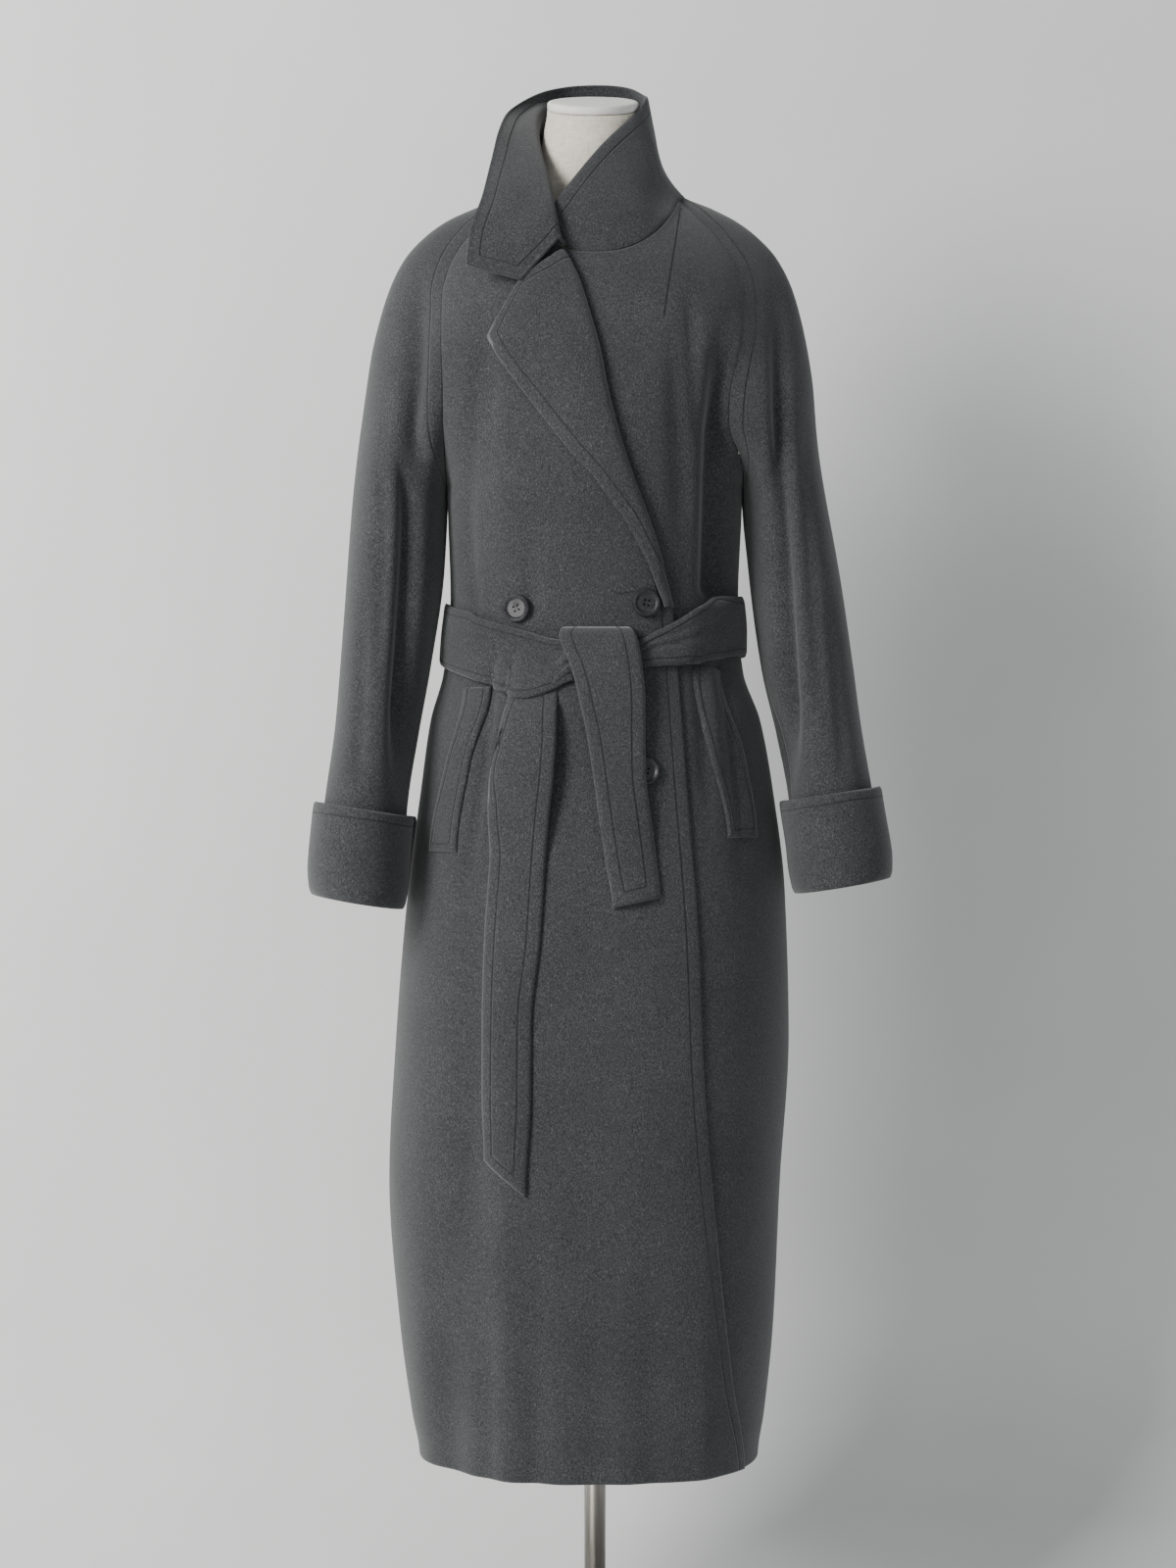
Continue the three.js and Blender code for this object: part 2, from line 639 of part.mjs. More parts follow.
// The point of the front at a given x and height: the ring through it is found by halving.
function onFront(x, z) {
  const pointOf = (h) => bodyPoint(h, turnAt(h, x, false), false);
  if (z <= ARMPIT) return pointOf(z);
  let low = z;
  let high = NECKLINE;
  for (let i = 0; i < 24; i++) {
    const middle = (low + high) / 2;
    if (pointOf(middle).z < z) low = middle;
    else high = middle;
  }
  return pointOf(low);
}

// A panel over the front between two edges, each given at every row as [x, z].
const overlay = (rows, columns) =>
  sheet(
    rows.map(([from, to]) =>
      evenly(columns).map((t) => onFront(mix(from[0], to[0], t), mix(from[1], to[1], t))),
    ),
  );

// Rows for a strip whose two edges are read from a table at even heights.
const stripRows = (rows, count) =>
  evenly(count).map((t) => {
    const z = mix(rows[0].z, rows[rows.length - 1].z, t);
    return [[read(rows, z, "from"), z], [read(rows, z, "to"), z]];
  });

function cuff(side) {
  const wrist = side < 0 ? WRIST.right : WRIST.left;
  const rows = [0, 7, 26, 58, CUFF_HEIGHT];
  const folded = sheet(
    rows.map((rise) => ALONG.map((along) => sleevePoint(wrist + rise, side, along))),
    side < 0,
  );
  sew(folded, 0, folded, sleeveLast, 0, 0, rows.length);
  const out = table("rise out", [
    [0, OVERLAY],
    [7, OVERLAY + 0.3],
    [26, 7],
    [58, 8.5],
    [CUFF_HEIGHT, 9.5],
  ]);
  return wall(folded, (p, r) => out[r].out);
}

// Where the collar's foot stands: the neckline, with the right front's own stand-out.
function collarFoot(row) {
  if (row.foot === "sleeveRight") return sleevePoint(NECKLINE, -1, row.at);
  if (row.foot === "sleeveLeft") return sleevePoint(NECKLINE, 1, row.at);
  const foot = bodyPoint(NECKLINE, turnAt(NECKLINE, row.at, row.foot === "back"), row.foot === "back");
  if (row.foot === "frontRight") foot.y -= OVERLAY;
  return foot;
}

function collar() {
  const rows = evenly(6).map((t) =>
    COLLAR.map((row) => {
      const foot = collarFoot(row).add(V(0, 0, FOOT_GAP));
      const roll = V(row.rollX, row.rollY, row.rollZ);
      const middle = V(row.midX, row.midY, row.midZ);
      return through([foot, roll, middle, V(row.edgeX, row.edgeY, row.edgeZ)], t);
    }),
  );
  return wall(sheet(rows, true));
}

function lapel() {
  const rows = LAPEL.map((row) => [[row.edgeX, row.edgeZ], [row.rollX - 1, row.rollZ]]);
  return wall(overlay(rows, 5), () => OVERLAY + LYING + CLOTH);
}

// A point round the whole body at a height, by its turn from the front over the right side.
function around(h, turn) {
  if (turn < Math.PI / 2) return bodyPoint(h, -turn, false);
  if (turn < Math.PI * 1.5) return bodyPoint(h, turn - Math.PI, true);
  return bodyPoint(h, 2 * Math.PI - turn, false);
}

// How far the belt's inner face stands out: over the right front, and past its edge.
const beltLift = (p) =>
  p.y > 0 ? 0 : OVERLAY * step(p.x, LEFT_EDGE - 60, LEFT_EDGE - 36) * (1 - step(p.x, 86, 112));

function beltWaist() {
  const from = BELT[0].turn;
  const to = BELT[BELT.length - 1].turn;
  const rows = evenly(3).map((v) =>
    evenly(38).map((t) => {
      const turn = mix(from, to, t);
      const z = mix(read(BELT, turn, "bottom"), read(BELT, turn, "top"), v);
      return around(z, (turn * Math.PI) / 180);
    }),
  );
  return wall(sheet(rows, true), (p) => beltLift(p) + BELT_EASE + BELT_CLOTH, BELT_CLOTH);
}

function beltKnot() {
  const rows = [[[-20, 1002], [36, 1014]], [[-19, 1022], [37, 1030]], [[-20, 1043], [36, 1045]]];
  const thick = 2 * BELT_CLOTH;
  return wall(overlay(rows, 4), () => OVERLAY + BELT_EASE + thick, thick);
}

function tail(rows, count) {
  const hanging = overlay(stripRows(rows, count), 3);
  const out = (p) => OVERLAY + LYING + BELT_CLOTH + read(rows, p.z, "out");
  return wall(hanging, out, BELT_CLOTH);
}

const pocket = (rows, lift) => wall(overlay(stripRows(rows, 7), 2), (p) => lift(p.x) + LYING + CLOTH);

// ---- hard pieces --------------------------------------------------------------------------

// A closed body through rings of points, lowest first, flat at both ends.
function loft(rings) {
  const count = rings[0].length;
  const positions = rings.flat().flatMap((p) => [p.x, p.y, p.z]);
  const faces = [];
  for (let r = 0; r + 1 < rings.length; r++) {
    for (let c = 0; c < count; c++) {
      const d = (c + 1) % count;
      const [a, b, e, f] = [r * count + c, r * count + d, (r + 1) * count + d, (r + 1) * count + c];
      faces.push(a, b, e, a, e, f);
    }
  }
  for (const [ring, up] of [[0, false], [rings.length - 1, true]]) {
    const middle = positions.length / 3;
    const sum = rings[ring].reduce((total, p) => total.add(p), V(0, 0, 0)).divideScalar(count);
    positions.push(sum.x, sum.y, sum.z);
    for (let c = 0; c < count; c++) {
      const a = ring * count + c;
      const b = ring * count + ((c + 1) % count);
      if (up) faces.push(a, b, middle);
      else faces.push(b, a, middle);
    }
  }
  const geometry = new THREE.BufferGeometry();
  geometry.setAttribute("position", new THREE.Float32BufferAttribute(positions, 3));
  geometry.setIndex(faces);
  return geometry;
}

function formRing(section, count, up = 0) {
  return Array.from({ length: count }, (_, i) => {
    const turn = (2 * Math.PI * i) / count;
    const y = Math.sin(turn) * (Math.sin(turn) < 0 ? section.front : section.back);
    return V(
      section.x + section.wide * Math.cos(turn),
      section.y + y - up * section.lean,
      section.z + y * section.lean + up,
    );
  });
}

function neckCap() {
  const top = FORM[FORM.length - 1];
  const profile = [[SEAM, 0.97], [1.2, 1], [6, 1], [8, 0.96], [8.8, 0.86]];
  const rings = profile.map(([up, scale]) => {
    const { wide, front, back: rear } = top;
    return formRing({ ...top, wide: wide * scale, front: front * scale, back: rear * scale }, 32, up);
  });
  return loft(rings);
}

// A turned body round the vertical axis, from a profile of radius and height.
function turned(profile, segments) {
  const points = profile.map(([radius, height]) => new THREE.Vector2(radius, height));
  return new THREE.LatheGeometry(points, segments).rotateX(Math.PI / 2);
}

function solid(geometry) {
  const bare = geometry.clone();
  bare.deleteAttribute("normal");
  bare.deleteAttribute("uv");
  const merged = mergeVertices(bare, 1e-4);
  const vertProperties = new Float32Array(merged.attributes.position.array);
  const triVerts = new Uint32Array(merged.index.array);
  return new wasm.Manifold(new wasm.Mesh({ numProp: 3, vertProperties, triVerts }));
}

function fromSolid(made) {
  const { vertProperties, triVerts } = made.getMesh();
  const geometry = new THREE.BufferGeometry();
  geometry.setAttribute("position", new THREE.BufferAttribute(vertProperties, 3));
  geometry.setIndex(new THREE.BufferAttribute(triVerts, 1));
  return geometry;
}

// A dished four-hole button with a raised rim, its back on z = 0.
function buttonShape() {
  const r = BUTTON_RADIUS;
  const h = BUTTON_HEIGHT;
  const profile = [[0, 0], [r - 2, 0], [r, 1.6], [r - 0.6, h - 0.6], [r - 2, h]];
  profile.push([r - 3.4, h - 0.5], [r - 5, h - 1.5], [0, h - 1.6]);
  let made = solid(turned(profile, 28));
  for (const [x, y] of [[1, 1], [1, -1], [-1, 1], [-1, -1]]) {
    const hole = new THREE.CylinderGeometry(1.1, 1.1, 3 * h, 8).rotateX(Math.PI / 2);
    made = made.subtract(solid(hole.translate(2.2 * x, 2.2 * y, 0)));
  }
  return fromSolid(made);
}

function placeOnFront(mesh, x, z, out) {
  const middle = onFront(x, z);
  const across = onFront(x + 4, z).sub(onFront(x - 4, z));
  const up = onFront(x, z + 4).sub(onFront(x, z - 4));
  const normal = across.cross(up).normalize();
  mesh.quaternion.setFromUnitVectors(V(0, 0, 1), normal);
  mesh.position.copy(middle.addScaledVector(normal, out));
}

// ---- the object ---------------------------------------------------------------------------

const coat = new THREE.Group();

function add(name, geometry, material) {
  const mesh = new THREE.Mesh(geometry, material);
  mesh.name = name;
  coat.add(mesh);
  return mesh;
}

add("back", wall(back), colours.wool);
add("front_right", wall(frontRight, (p) => liftAt(p.x)), colours.wool);
add("front_left", wall(frontLeft), colours.wool);
add("sleeve_right", wall(sleeveRight), colours.wool);
add("sleeve_left", wall(sleeveLeft), colours.wool);
add("cuff_right", cuff(-1), colours.wool);
add("cuff_left", cuff(1), colours.wool);
add("collar", collar(), colours.wool);
add("lapel_right", lapel(), colours.wool);
add("belt_waist", beltWaist(), colours.wool);
add("belt_knot", beltKnot(), colours.wool);
add("belt_tail_short", tail(SHORT_TAIL, 9), colours.wool);
add("belt_tail_long", tail(LONG_TAIL, 14), colours.wool);
add("pocket_right", pocket(POCKET_RIGHT, liftAt), colours.wool);
add("pocket_left", pocket(POCKET_LEFT, () => LYING), colours.wool);

for (const { name, x, z } of BUTTONS) {
  placeOnFront(add(name, buttonShape(), colours.horn), x, z, OVERLAY + LYING);
}

add("form_torso", loft(FORM.map((section) => formRing(section, 28))), colours.linen);
add("form_neck_cap", neckCap(), colours.cap);

const boss = POLE_RADIUS + 8;
const poleFoot = BASE_HEIGHT + 14;
const poleLength = FORM_BOTTOM - poleFoot - 2 * SEAM;
const pole = new THREE.CylinderGeometry(POLE_RADIUS, POLE_RADIUS, poleLength, 24).rotateX(Math.PI / 2);
add("pole", pole, colours.steel).position.z = poleFoot + SEAM + poleLength / 2;
const edge = BASE_HEIGHT - 3;
const plate = [[0, 0], [BASE_RADIUS - 2, 0], [BASE_RADIUS, 2], [BASE_RADIUS, edge]];
plate.push([BASE_RADIUS - 4, BASE_HEIGHT]);
plate.push([boss + 4, BASE_HEIGHT + 1], [boss, BASE_HEIGHT + 4], [boss, poleFoot - 2], [boss - 2, poleFoot]);
plate.push([0, poleFoot]);
add("base", turned(plate, 48), colours.steel);

export default coat;
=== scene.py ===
"""A long double-breasted raglan coat with a tie belt on a limbless dress form.

Sizes are in millimetres until a piece is put into its mesh. The wearer's right is -X and the
coat faces -Y. Every piece of cloth is a grid of points worked out from the tables below.
"""
import math

import bpy
import numpy as np
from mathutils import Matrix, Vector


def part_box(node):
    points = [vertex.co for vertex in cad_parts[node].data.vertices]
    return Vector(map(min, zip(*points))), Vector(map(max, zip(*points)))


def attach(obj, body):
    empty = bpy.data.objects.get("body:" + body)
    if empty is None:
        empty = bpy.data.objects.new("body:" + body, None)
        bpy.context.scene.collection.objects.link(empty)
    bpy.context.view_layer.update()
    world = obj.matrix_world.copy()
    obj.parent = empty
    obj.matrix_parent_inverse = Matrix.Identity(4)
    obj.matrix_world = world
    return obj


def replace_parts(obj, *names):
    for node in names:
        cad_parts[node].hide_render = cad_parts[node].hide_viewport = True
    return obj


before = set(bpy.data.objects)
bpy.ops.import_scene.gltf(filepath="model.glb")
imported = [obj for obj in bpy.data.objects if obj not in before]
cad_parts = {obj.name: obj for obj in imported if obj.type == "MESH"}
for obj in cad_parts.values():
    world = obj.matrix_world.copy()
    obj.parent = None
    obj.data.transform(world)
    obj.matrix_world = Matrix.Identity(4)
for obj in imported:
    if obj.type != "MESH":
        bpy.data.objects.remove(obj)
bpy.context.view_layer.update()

MM = 0.001
CLOTH = 2.6
REST = 0.6
OVERLAY = CLOTH + REST
LYING = 0.8
BELT_EASE = 2.0
BELT_CLOTH = 4.0
FOOT_GAP = 0.4
HEM = 228.0
ARMPIT = 1205.0
ARMHOLE_RISE = 95.0
NECKLINE = 1506.0
SQUARE = 2.35
DROP_POWER = 1.6
LEFT_EDGE = -75.0
STITCH_IN = 13.0
FAR = 60.0
WRIST = {-1: 791.0, 1: 805.0}
CUFF_HEIGHT = 90.0


# ---- tables -------------------------------------------------------------------------------

class Table:
    """Rows keyed by their first column; read() follows a smooth curve that never overshoots."""

    def __init__(self, names, rows):
        self.names = names.split()
        self.data = np.array(rows, dtype=float)
        self.slopes = np.zeros_like(self.data)
        key = self.data[:, 0]
        gaps = np.diff(key)[:, None]
        run = np.diff(self.data, axis=0) / gaps
        below, above = gaps[:-1], gaps[1:]
        under, over = run[:-1], run[1:]
        same = under * over > 0
        under_safe = np.where(same, under, 1)
        over_safe = np.where(same, over, 1)
        middle = 3 * (below + above) / ((2 * above + below) / under_safe
                                        + (above + 2 * below) / over_safe)
        self.slopes[1:-1] = np.where(same, middle, 0)

    def read(self, column, at):
        """The column's value at a key: a cubic between two rows, held still past the ends."""
        c = self.names.index(column)
        key = self.data[:, 0]
        at = np.clip(at, key[0], key[-1])
        i = np.clip(np.searchsorted(key, at, side="right") - 1, 0, len(key) - 2)
        span = key[i + 1] - key[i]
        t = (at - key[i]) / span
        a, b = self.data[i, c], self.data[i + 1, c]
        da, db = self.slopes[i, c] * span, self.slopes[i + 1, c] * span
        return ((2 * t**3 - 3 * t**2 + 1) * a + (t**3 - 2 * t**2 + t) * da
                + (3 * t**2 - 2 * t**3) * b + (t**3 - t**2) * db)


WIDTH = Table("h right left", [
    (228, 179, 166), (270, 186, 172), (358, 198, 181), (505, 209, 188), (650, 202, 197),
    (797, 190, 193), (899, 177, 181), (970, 167, 168), (1018, 154, 151), (1055, 150, 147),
    (1092, 147, 146), (1205, 150, 150)])

DEPTH = Table("h front back sinkFront sinkBack", [
    (228, 150, 150, 0, 0), (358, 160, 158, 0, 0), (505, 165, 164, 0, 0), (650, 167, 164, 0, 0),
    (797, 160, 157, 0, 0), (899, 149, 147, 0, 0), (970, 139, 135, 0, 0), (1018, 126, 117, 0, 0),
    (1055, 119, 109, 0, 0), (1092, 119, 110, 0, 0), (1140, 125, 114, 0, 0),
    (1205, 131, 118, 0, 0), (1270, 129, 119, 15, 2), (1340, 124, 116, 30, 3),
    (1410, 116, 105, 52, 4), (1463, 108, 90, 70, 1), (1492, 101, 77, 78, -8),
    (1506, 95, 68, 76, -22)])

RAGLAN = Table("h right left front rear back", [
    (1205, 150, 150, -80, 150, 78), (1270, 151, 132, -84, 151, 80),
    (1305, 151, 134, -86, 152, 80), (1340, 152, 141, -84, 152, 78),
    (1375, 153, 148, -78, 150, 72), (1410, 153, 149, -66, 144, 64),
    (1440, 147, 143, -56, 133, 56), (1463, 136, 130, -50, 118, 50),
    (1480, 122, 116, -44, 104, 46), (1492, 108, 103, -38, 91, 43), (1506, 86, 86, -26, 74, 36)])

SLEEVE = Table("h outRight outLeft inRight inLeft deep centre lean", [
    (790, 279, 291, 192, 200, 58, -80, 9), (890, 268, 276, 187, 194, 61, -66, 8),
    (960, 260, 266, 177, 182, 66, -48, 6), (1025, 256, 259, 166, 168, 71, -33, 4),
    (1125, 251, 247, 153, 156, 77, -9, 1), (1205, 246, 233, 150, 150, 82, 0, 0),
    (1255, 240, 226, 150, 150, 86, 0, 0), (1305, 233, 223, 150, 150, 88, 0, 0),
    (1340, 228, 218, 150, 150, 86, 0, 0), (1375, 220, 211, 150, 150, 80, 0, 0),
    (1410, 209, 201, 150, 150, 70, 0, 0), (1440, 194, 186, 150, 150, 60, 1, 0),
    (1463, 173, 165, 150, 150, 52, 1, 0), (1480, 149, 142, 150, 150, 46, 2, 0),
    (1492, 122, 118, 150, 150, 40, 3, 0), (1506, 87, 87, 150, 150, 31, 4, 0)])

FRONT_EDGE = Table("h x", [
    (228, 146), (320, 133), (441, 119), (622, 104), (754, 99), (905, 88), (1000, 81),
    (1077, 75), (1134, 60), (1211, 33), (1283, 12), (1366, -7), (1440, -19), (1506, -31)])

# Folds of the body: behind, low, high, x at the low end, x at the high end, width, depth,
# and how early each fades towards its low and its high end.
FOLDS = [
    (0, 1075, 1420, 119, 127, 13, 19, 0.08, 0.5),
    (0, 150, 980, -136, -108, 20, 6, 0.1, 0.45),
    (0, 760, 1045, -132, -92, 7, 4.5, 0.5, 0.12),
    (0, 800, 1040, -112, -76, 6, 3.5, 0.5, 0.12),
    (0, 850, 1040, 112, 100, 7, 4, 0.5, 0.12),
    (0, 780, 1045, 150, 122, 8, 5, 0.5, 0.12),
    (0, 1060, 1190, -118, -128, 7, 3, 0.2, 0.5),
    (0, 1060, 1180, -60, -66, 9, 2.2, 0.2, 0.6),
    (0, 1085, 1400, -132, -112, 9, 3.5, 0.3, 0.5),
    (0, 1150, 1440, -112, -98, 14, 3, 0.4, 0.4),
    (0, 1090, 1430, 88, 78, 12, 5, 0.3, 0.4),
    (0, 1200, 1465, 104, 92, 8, 4, 0.4, 0.3),
    (1, 150, 990, -120, -62, 30, 9, 0.12, 0.45),
    (1, 150, 970, -48, -22, 26, 7, 0.12, 0.45),
    (1, 150, 1000, 40, 24, 30, 9, 0.12, 0.45),
    (1, 150, 985, 118, 74, 28, 8, 0.12, 0.45),
    (1, 1085, 1330, -70, -52, 24, 6, 0.12, 0.45),
    (1, 1085, 1310, 66, 48, 24, 6, 0.12, 0.45),
    (1, 850, 1040, -100, -84, 8, 4, 0.5, 0.12),
    (1, 800, 1040, 8, 4, 8, 4, 0.5, 0.12),
    (1, 850, 1040, 96, 88, 8, 4, 0.5, 0.12)]

# Ripples of the hem: behind, x, width, depth.
HEM_RIPPLES = [(0, -150, 16, 7), (0, -104, 13, 4), (0, -58, 15, 5), (0, 2, 22, 4), (0, 56, 20, 4),
               (0, 104, 13, -3), (1, -110, 24, 7), (1, -36, 20, 6), (1, 40, 24, 7), (1, 112, 20, 6)]

# Troughs of the sleeves: side, behind, low, high, distance from the middle at the low and the
# high end, width, depth.
TROUGHS = [
    (-1, 0, 880, 1460, 193, 174, 10, 17), (1, 0, 880, 1450, 192, 182, 9, 15),
    (-1, 0, 1000, 1330, 214, 206, 7, 3.5), (1, 0, 960, 1300, 222, 206, 8, 4),
    (-1, 0, 890, 1120, 232, 226, 7, 3), (1, 0, 890, 1120, 246, 230, 7, 3),
    (-1, 1, 900, 1420, 200, 178, 12, 10), (1, 1, 900, 1420, 200, 178, 12, 10)]

LAPEL = Table("step rollX rollZ edgeX edgeZ", [
    (0, 74, 1078, 66, 1078), (1, 60, 1134, 51, 1119), (2, 46, 1176, 29, 1161),
    (3, 33, 1211, -1, 1203), (4, 20, 1252, -26, 1230), (5, 10, 1292, -52, 1264),
    (6, 3, 1329, -80, 1302), (7, -7, 1366, -105, 1342), (8, -19, 1405, -89, 1370),
    (9, -31, 1430, -74, 1396)])

# The collar's stations: foot piece, place of the foot, roll, middle of the fall, free edge.
COLLAR = [
    ("frontRight", -31, (-36, -105, 1440), (-73, -112, 1398), (-127, -110, 1413)),
    ("frontRight", -50, (-42, -98, 1470), (-80, -106, 1443), (-123, -100, 1450)),
    ("frontRight", -72, (-47, -70, 1505), (-80, -86, 1487), (-112, -82, 1485)),
    ("sleeveRight", 0.2, (-55, -38, 1538), (-84, -54, 1528), (-104, -54, 1527)),
    ("sleeveRight", 0.5, (-59, -8, 1565), (-82, -22, 1562), (-98, -26, 1564)),
    ("sleeveRight", 0.9, (-56, 22, 1588), (-74, 14, 1590), (-88, 8, 1593)),
    ("back", -50, (-42, 46, 1595), (-55, 38, 1610), (-62, 30, 1616)),
    ("back", -18, (-18, 62, 1585), (-24, 61, 1608), (-30, 54, 1630)),
    ("back", 18, (20, 65, 1575), (16, 63, 1604), (8, 59, 1633)),
    ("back", 50, (47, 54, 1565), (43, 54, 1597), (36, 50, 1628)),
    ("sleeveLeft", 0.85, (66, 32, 1545), (60, 32, 1580), (52, 28, 1615)),
    ("sleeveLeft", 0.5, (70, 6, 1535), (61, 5, 1570), (54, 4, 1607)),
    ("sleeveLeft", 0.12, (71, -22, 1520), (60, -18, 1556), (47, -14, 1594)),
    ("frontLeft", 84, (68, -38, 1506), (56, -32, 1543), (41, -25, 1584)),
    ("frontLeft", 76, (62, -52, 1492), (50, -45, 1530), (33, -36, 1574)),
    ("frontLeft", 52, (42, -77, 1478), (26, -69, 1510), (8, -58, 1546)),
    ("frontLeft", 20, (13, -91, 1462), (0, -86, 1486), (-18, -76, 1512)),
    ("frontLeft", -14, (-18, -95, 1446), (-28, -93, 1462), (-42, -88, 1478)),
    ("frontLeft", -40, (-42, -96, 1436), (-49, -95, 1448), (-58, -92, 1458))]

BELT = Table("turn top bottom", [
    (5, 1043, 1003), (13, 1046, 992), (21, 1053, 986), (37, 1064, 1000), (62, 1079, 1016),
    (90, 1089, 1027), (180, 1092, 1030), (270, 1095, 1034), (300, 1090, 1031),
    (320, 1080, 1024), (332, 1065, 1019), (340, 1055, 1018), (349, 1043, 1016)])

SHORT_TAIL = Table("z from to out", [
    (790, 16, 61, 0), (829, 10, 58, 0), (867, 4, 53, 3.5), (917, -3, 47, 7), (950, -8, 46.5, 7.5),
    (981, -15, 46, 9.5), (1015, -23, 43, 11), (1036, -31, 40, 11), (1049, -34, 38, 8),
    (1056, -33, 36, 2), (1059, -31, 34, -4)])
LONG_TAIL = Table("z from to out", [
    (525, -105, -66, 0), (603, -107, -61, 0), (679, -107, -60, 0), (754, -105, -52, 0),
    (830, -100, -47, 0), (870, -98, -43, 5), (914, -96, -38, 8), (951, -94, -36, 6),
    (975, -90, -36, 2.5), (986, -86, -36, -2.2), (1004, -84, -36, -3.4)])
POCKET_LEFT = Table("z from to", [(852, 129, 159), (930, 113, 148), (1020, 96, 127)])
POCKET_RIGHT = Table("z from to", [(838, -163, -135), (925, -147, -122), (1000, -129, -103)])

FORM = Table("z wide front back x y lean", [
    (762, 136, 96, 96, 0, 0, 0), (776, 152, 106, 106, 0, 0, 0), (860, 158, 112, 112, 0, 0, 0),
    (950, 138, 100, 98, 0, 0, 0), (1018, 118, 90, 84, 0, 0, 0), (1055, 113, 87, 80, 0, 0, 0),
    (1100, 113, 88, 82, 0, 0, 0), (1160, 122, 97, 88, 0, 0, 0), (1230, 133, 103, 92, 0, 0, 0),
    (1300, 146, 103, 92, 0, 0, 0), (1360, 162, 92, 86, 0, 0, 0), (1405, 168, 80, 78, 0, 2, 0),
    (1440, 164, 64, 66, 0, 4, 0), (1463, 152, 54, 58, 0, 5, 0), (1480, 131, 48, 54, 0, 5, 0),
    (1491, 112, 48, 52, 0, 5, 0), (1499, 94, 49, 52, 0, 5, 0), (1507, 74, 51, 52, -1, 4, 0),
    (1522, 62, 53, 53, -1, 4, 0.06), (1550, 54, 53, 53, -2, 3, 0.2),
    (1575, 49, 48, 48, -2, 1, 0.32), (1592, 46.5, 46, 46, -2, 0, 0.36)])


# Lines sewn across the front, painted darker as the shade in their grooves: from and to in x and z, and how
# far each fades to its sides.
# They are the neck dart and the buttonhole beside the top left button.
SEAM_SHADE_LINES = [((87, 1485), (68, 1364), 1.8), ((23, 1090), (38, 1092.5), 1.5)]

BUTTONS = ["button_top_right", "button_top_left", "button_low_right", "button_low_left"]


# ---- surfaces -----------------------------------------------------------------------------

def step(x, low, high):
    """A smooth rise from 0 at low to 1 at high."""
    t = np.clip((x - low) / (high - low), 0, 1)
    return t * t * (3 - 2 * t)


def mix(a, b, t):
    return a + (b - a) * t


def armhole(h):
    """A quarter ellipse in height: 0 at the armpit, 1 where the armhole's side begins."""
    return np.sqrt(1 - (1 - np.clip((h - ARMPIT) / ARMHOLE_RISE, 0, 1)) ** 2)


def seam(h, side, behind):
    """x and y of a raglan seam at a height."""
    column = "rear" if behind else ("right" if side < 0 else "left")
    x = side * mix(150.0, RAGLAN.read(column, h), armhole(h))
    return x, RAGLAN.read("back" if behind else "front", h) * armhole(h)


def level(h, y):
    """The height of a ring's point: rings above the armpit sink towards the front."""
    depth = np.where(y < 0, DEPTH.read("front", h), DEPTH.read("back", h))
    sink = np.where(y < 0, DEPTH.read("sinkFront", h), DEPTH.read("sinkBack", h))
    return h - sink * np.minimum(np.abs(y) / depth, 1.1) ** DROP_POWER


def half_width(h, side, behind):
    """The body's half width below the armpit, and above it that of the ring through the seam."""
    low = WIDTH.read("right" if side < 0 else "left", h)
    x, y = seam(h, side, behind)
    depth = DEPTH.read("back" if behind else "front", h)
    high = np.abs(x) / (1 - (np.abs(y) / depth) ** SQUARE) ** (1 / SQUARE)
    return np.where(h <= ARMPIT, low, high)


def seam_turn(h, side, behind):
    """The angle round the ring at which a panel's seam stands."""
    _, y = seam(h, side, behind)
    depth = DEPTH.read("back" if behind else "front", h)
    turn = np.arccos((np.abs(y) / depth) ** (SQUARE / 2))
    return side * np.where(h <= ARMPIT, math.pi / 2, turn)


def turn_at(h, x, behind=False):
    """The angle round the ring at which it has a given x."""
    wide = np.where(x < 0, half_width(h, -1, behind), half_width(h, 1, behind))
    return np.sign(x) * np.arcsin(np.minimum(np.abs(x) / wide, 1) ** (SQUARE / 2))


def fold_depth(h, x, behind):
    """The sum of soft troughs, each a bell across and faded at its two ends, and hem ripples."""
    depth = np.zeros(np.broadcast(h, x).shape)
    for rear, low, high, x_low, x_high, wide, deep, rise, fall in FOLDS:
        if rear != behind:
            continue
        t = np.clip((h - low) / (high - low), 0, 1)
        fade = step(t, 0, rise) * (1 - step(t, 1 - fall, 1))
        depth = depth + deep * fade * np.exp(-((x - mix(x_low, x_high, t)) / wide) ** 2)
    for rear, centre, wide, deep in HEM_RIPPLES:
        if rear == behind:
            fade = 1 - step(h, HEM, HEM + 330)
            depth = depth + deep * fade * np.exp(-((x - centre) / wide) ** 2)
    return depth


def body(h, turn, behind=False):
    """A point of the body: a squared ellipse at each height, less its folds."""
    depth = DEPTH.read("back" if behind else "front", h)
    wide = np.where(turn < 0, half_width(h, -1, behind), half_width(h, 1, behind))
    x = np.sign(turn) * wide * np.abs(np.sin(turn)) ** (2 / SQUARE)
    y = (1 if behind else -1) * depth * np.abs(np.cos(turn)) ** (2 / SQUARE)
    end = np.where(turn < 0, seam_turn(h, -1, behind), seam_turn(h, 1, behind))
    inwards = fold_depth(h, x, int(behind)) * step(np.abs(turn - end), 0, 0.09)
    nx, ny = x / wide**2, y / depth**2
    away = np.hypot(nx, ny)
    z = level(h, y) + 0 * x
    return np.stack([x - inwards * nx / away, y - inwards * ny / away, z], axis=-1)


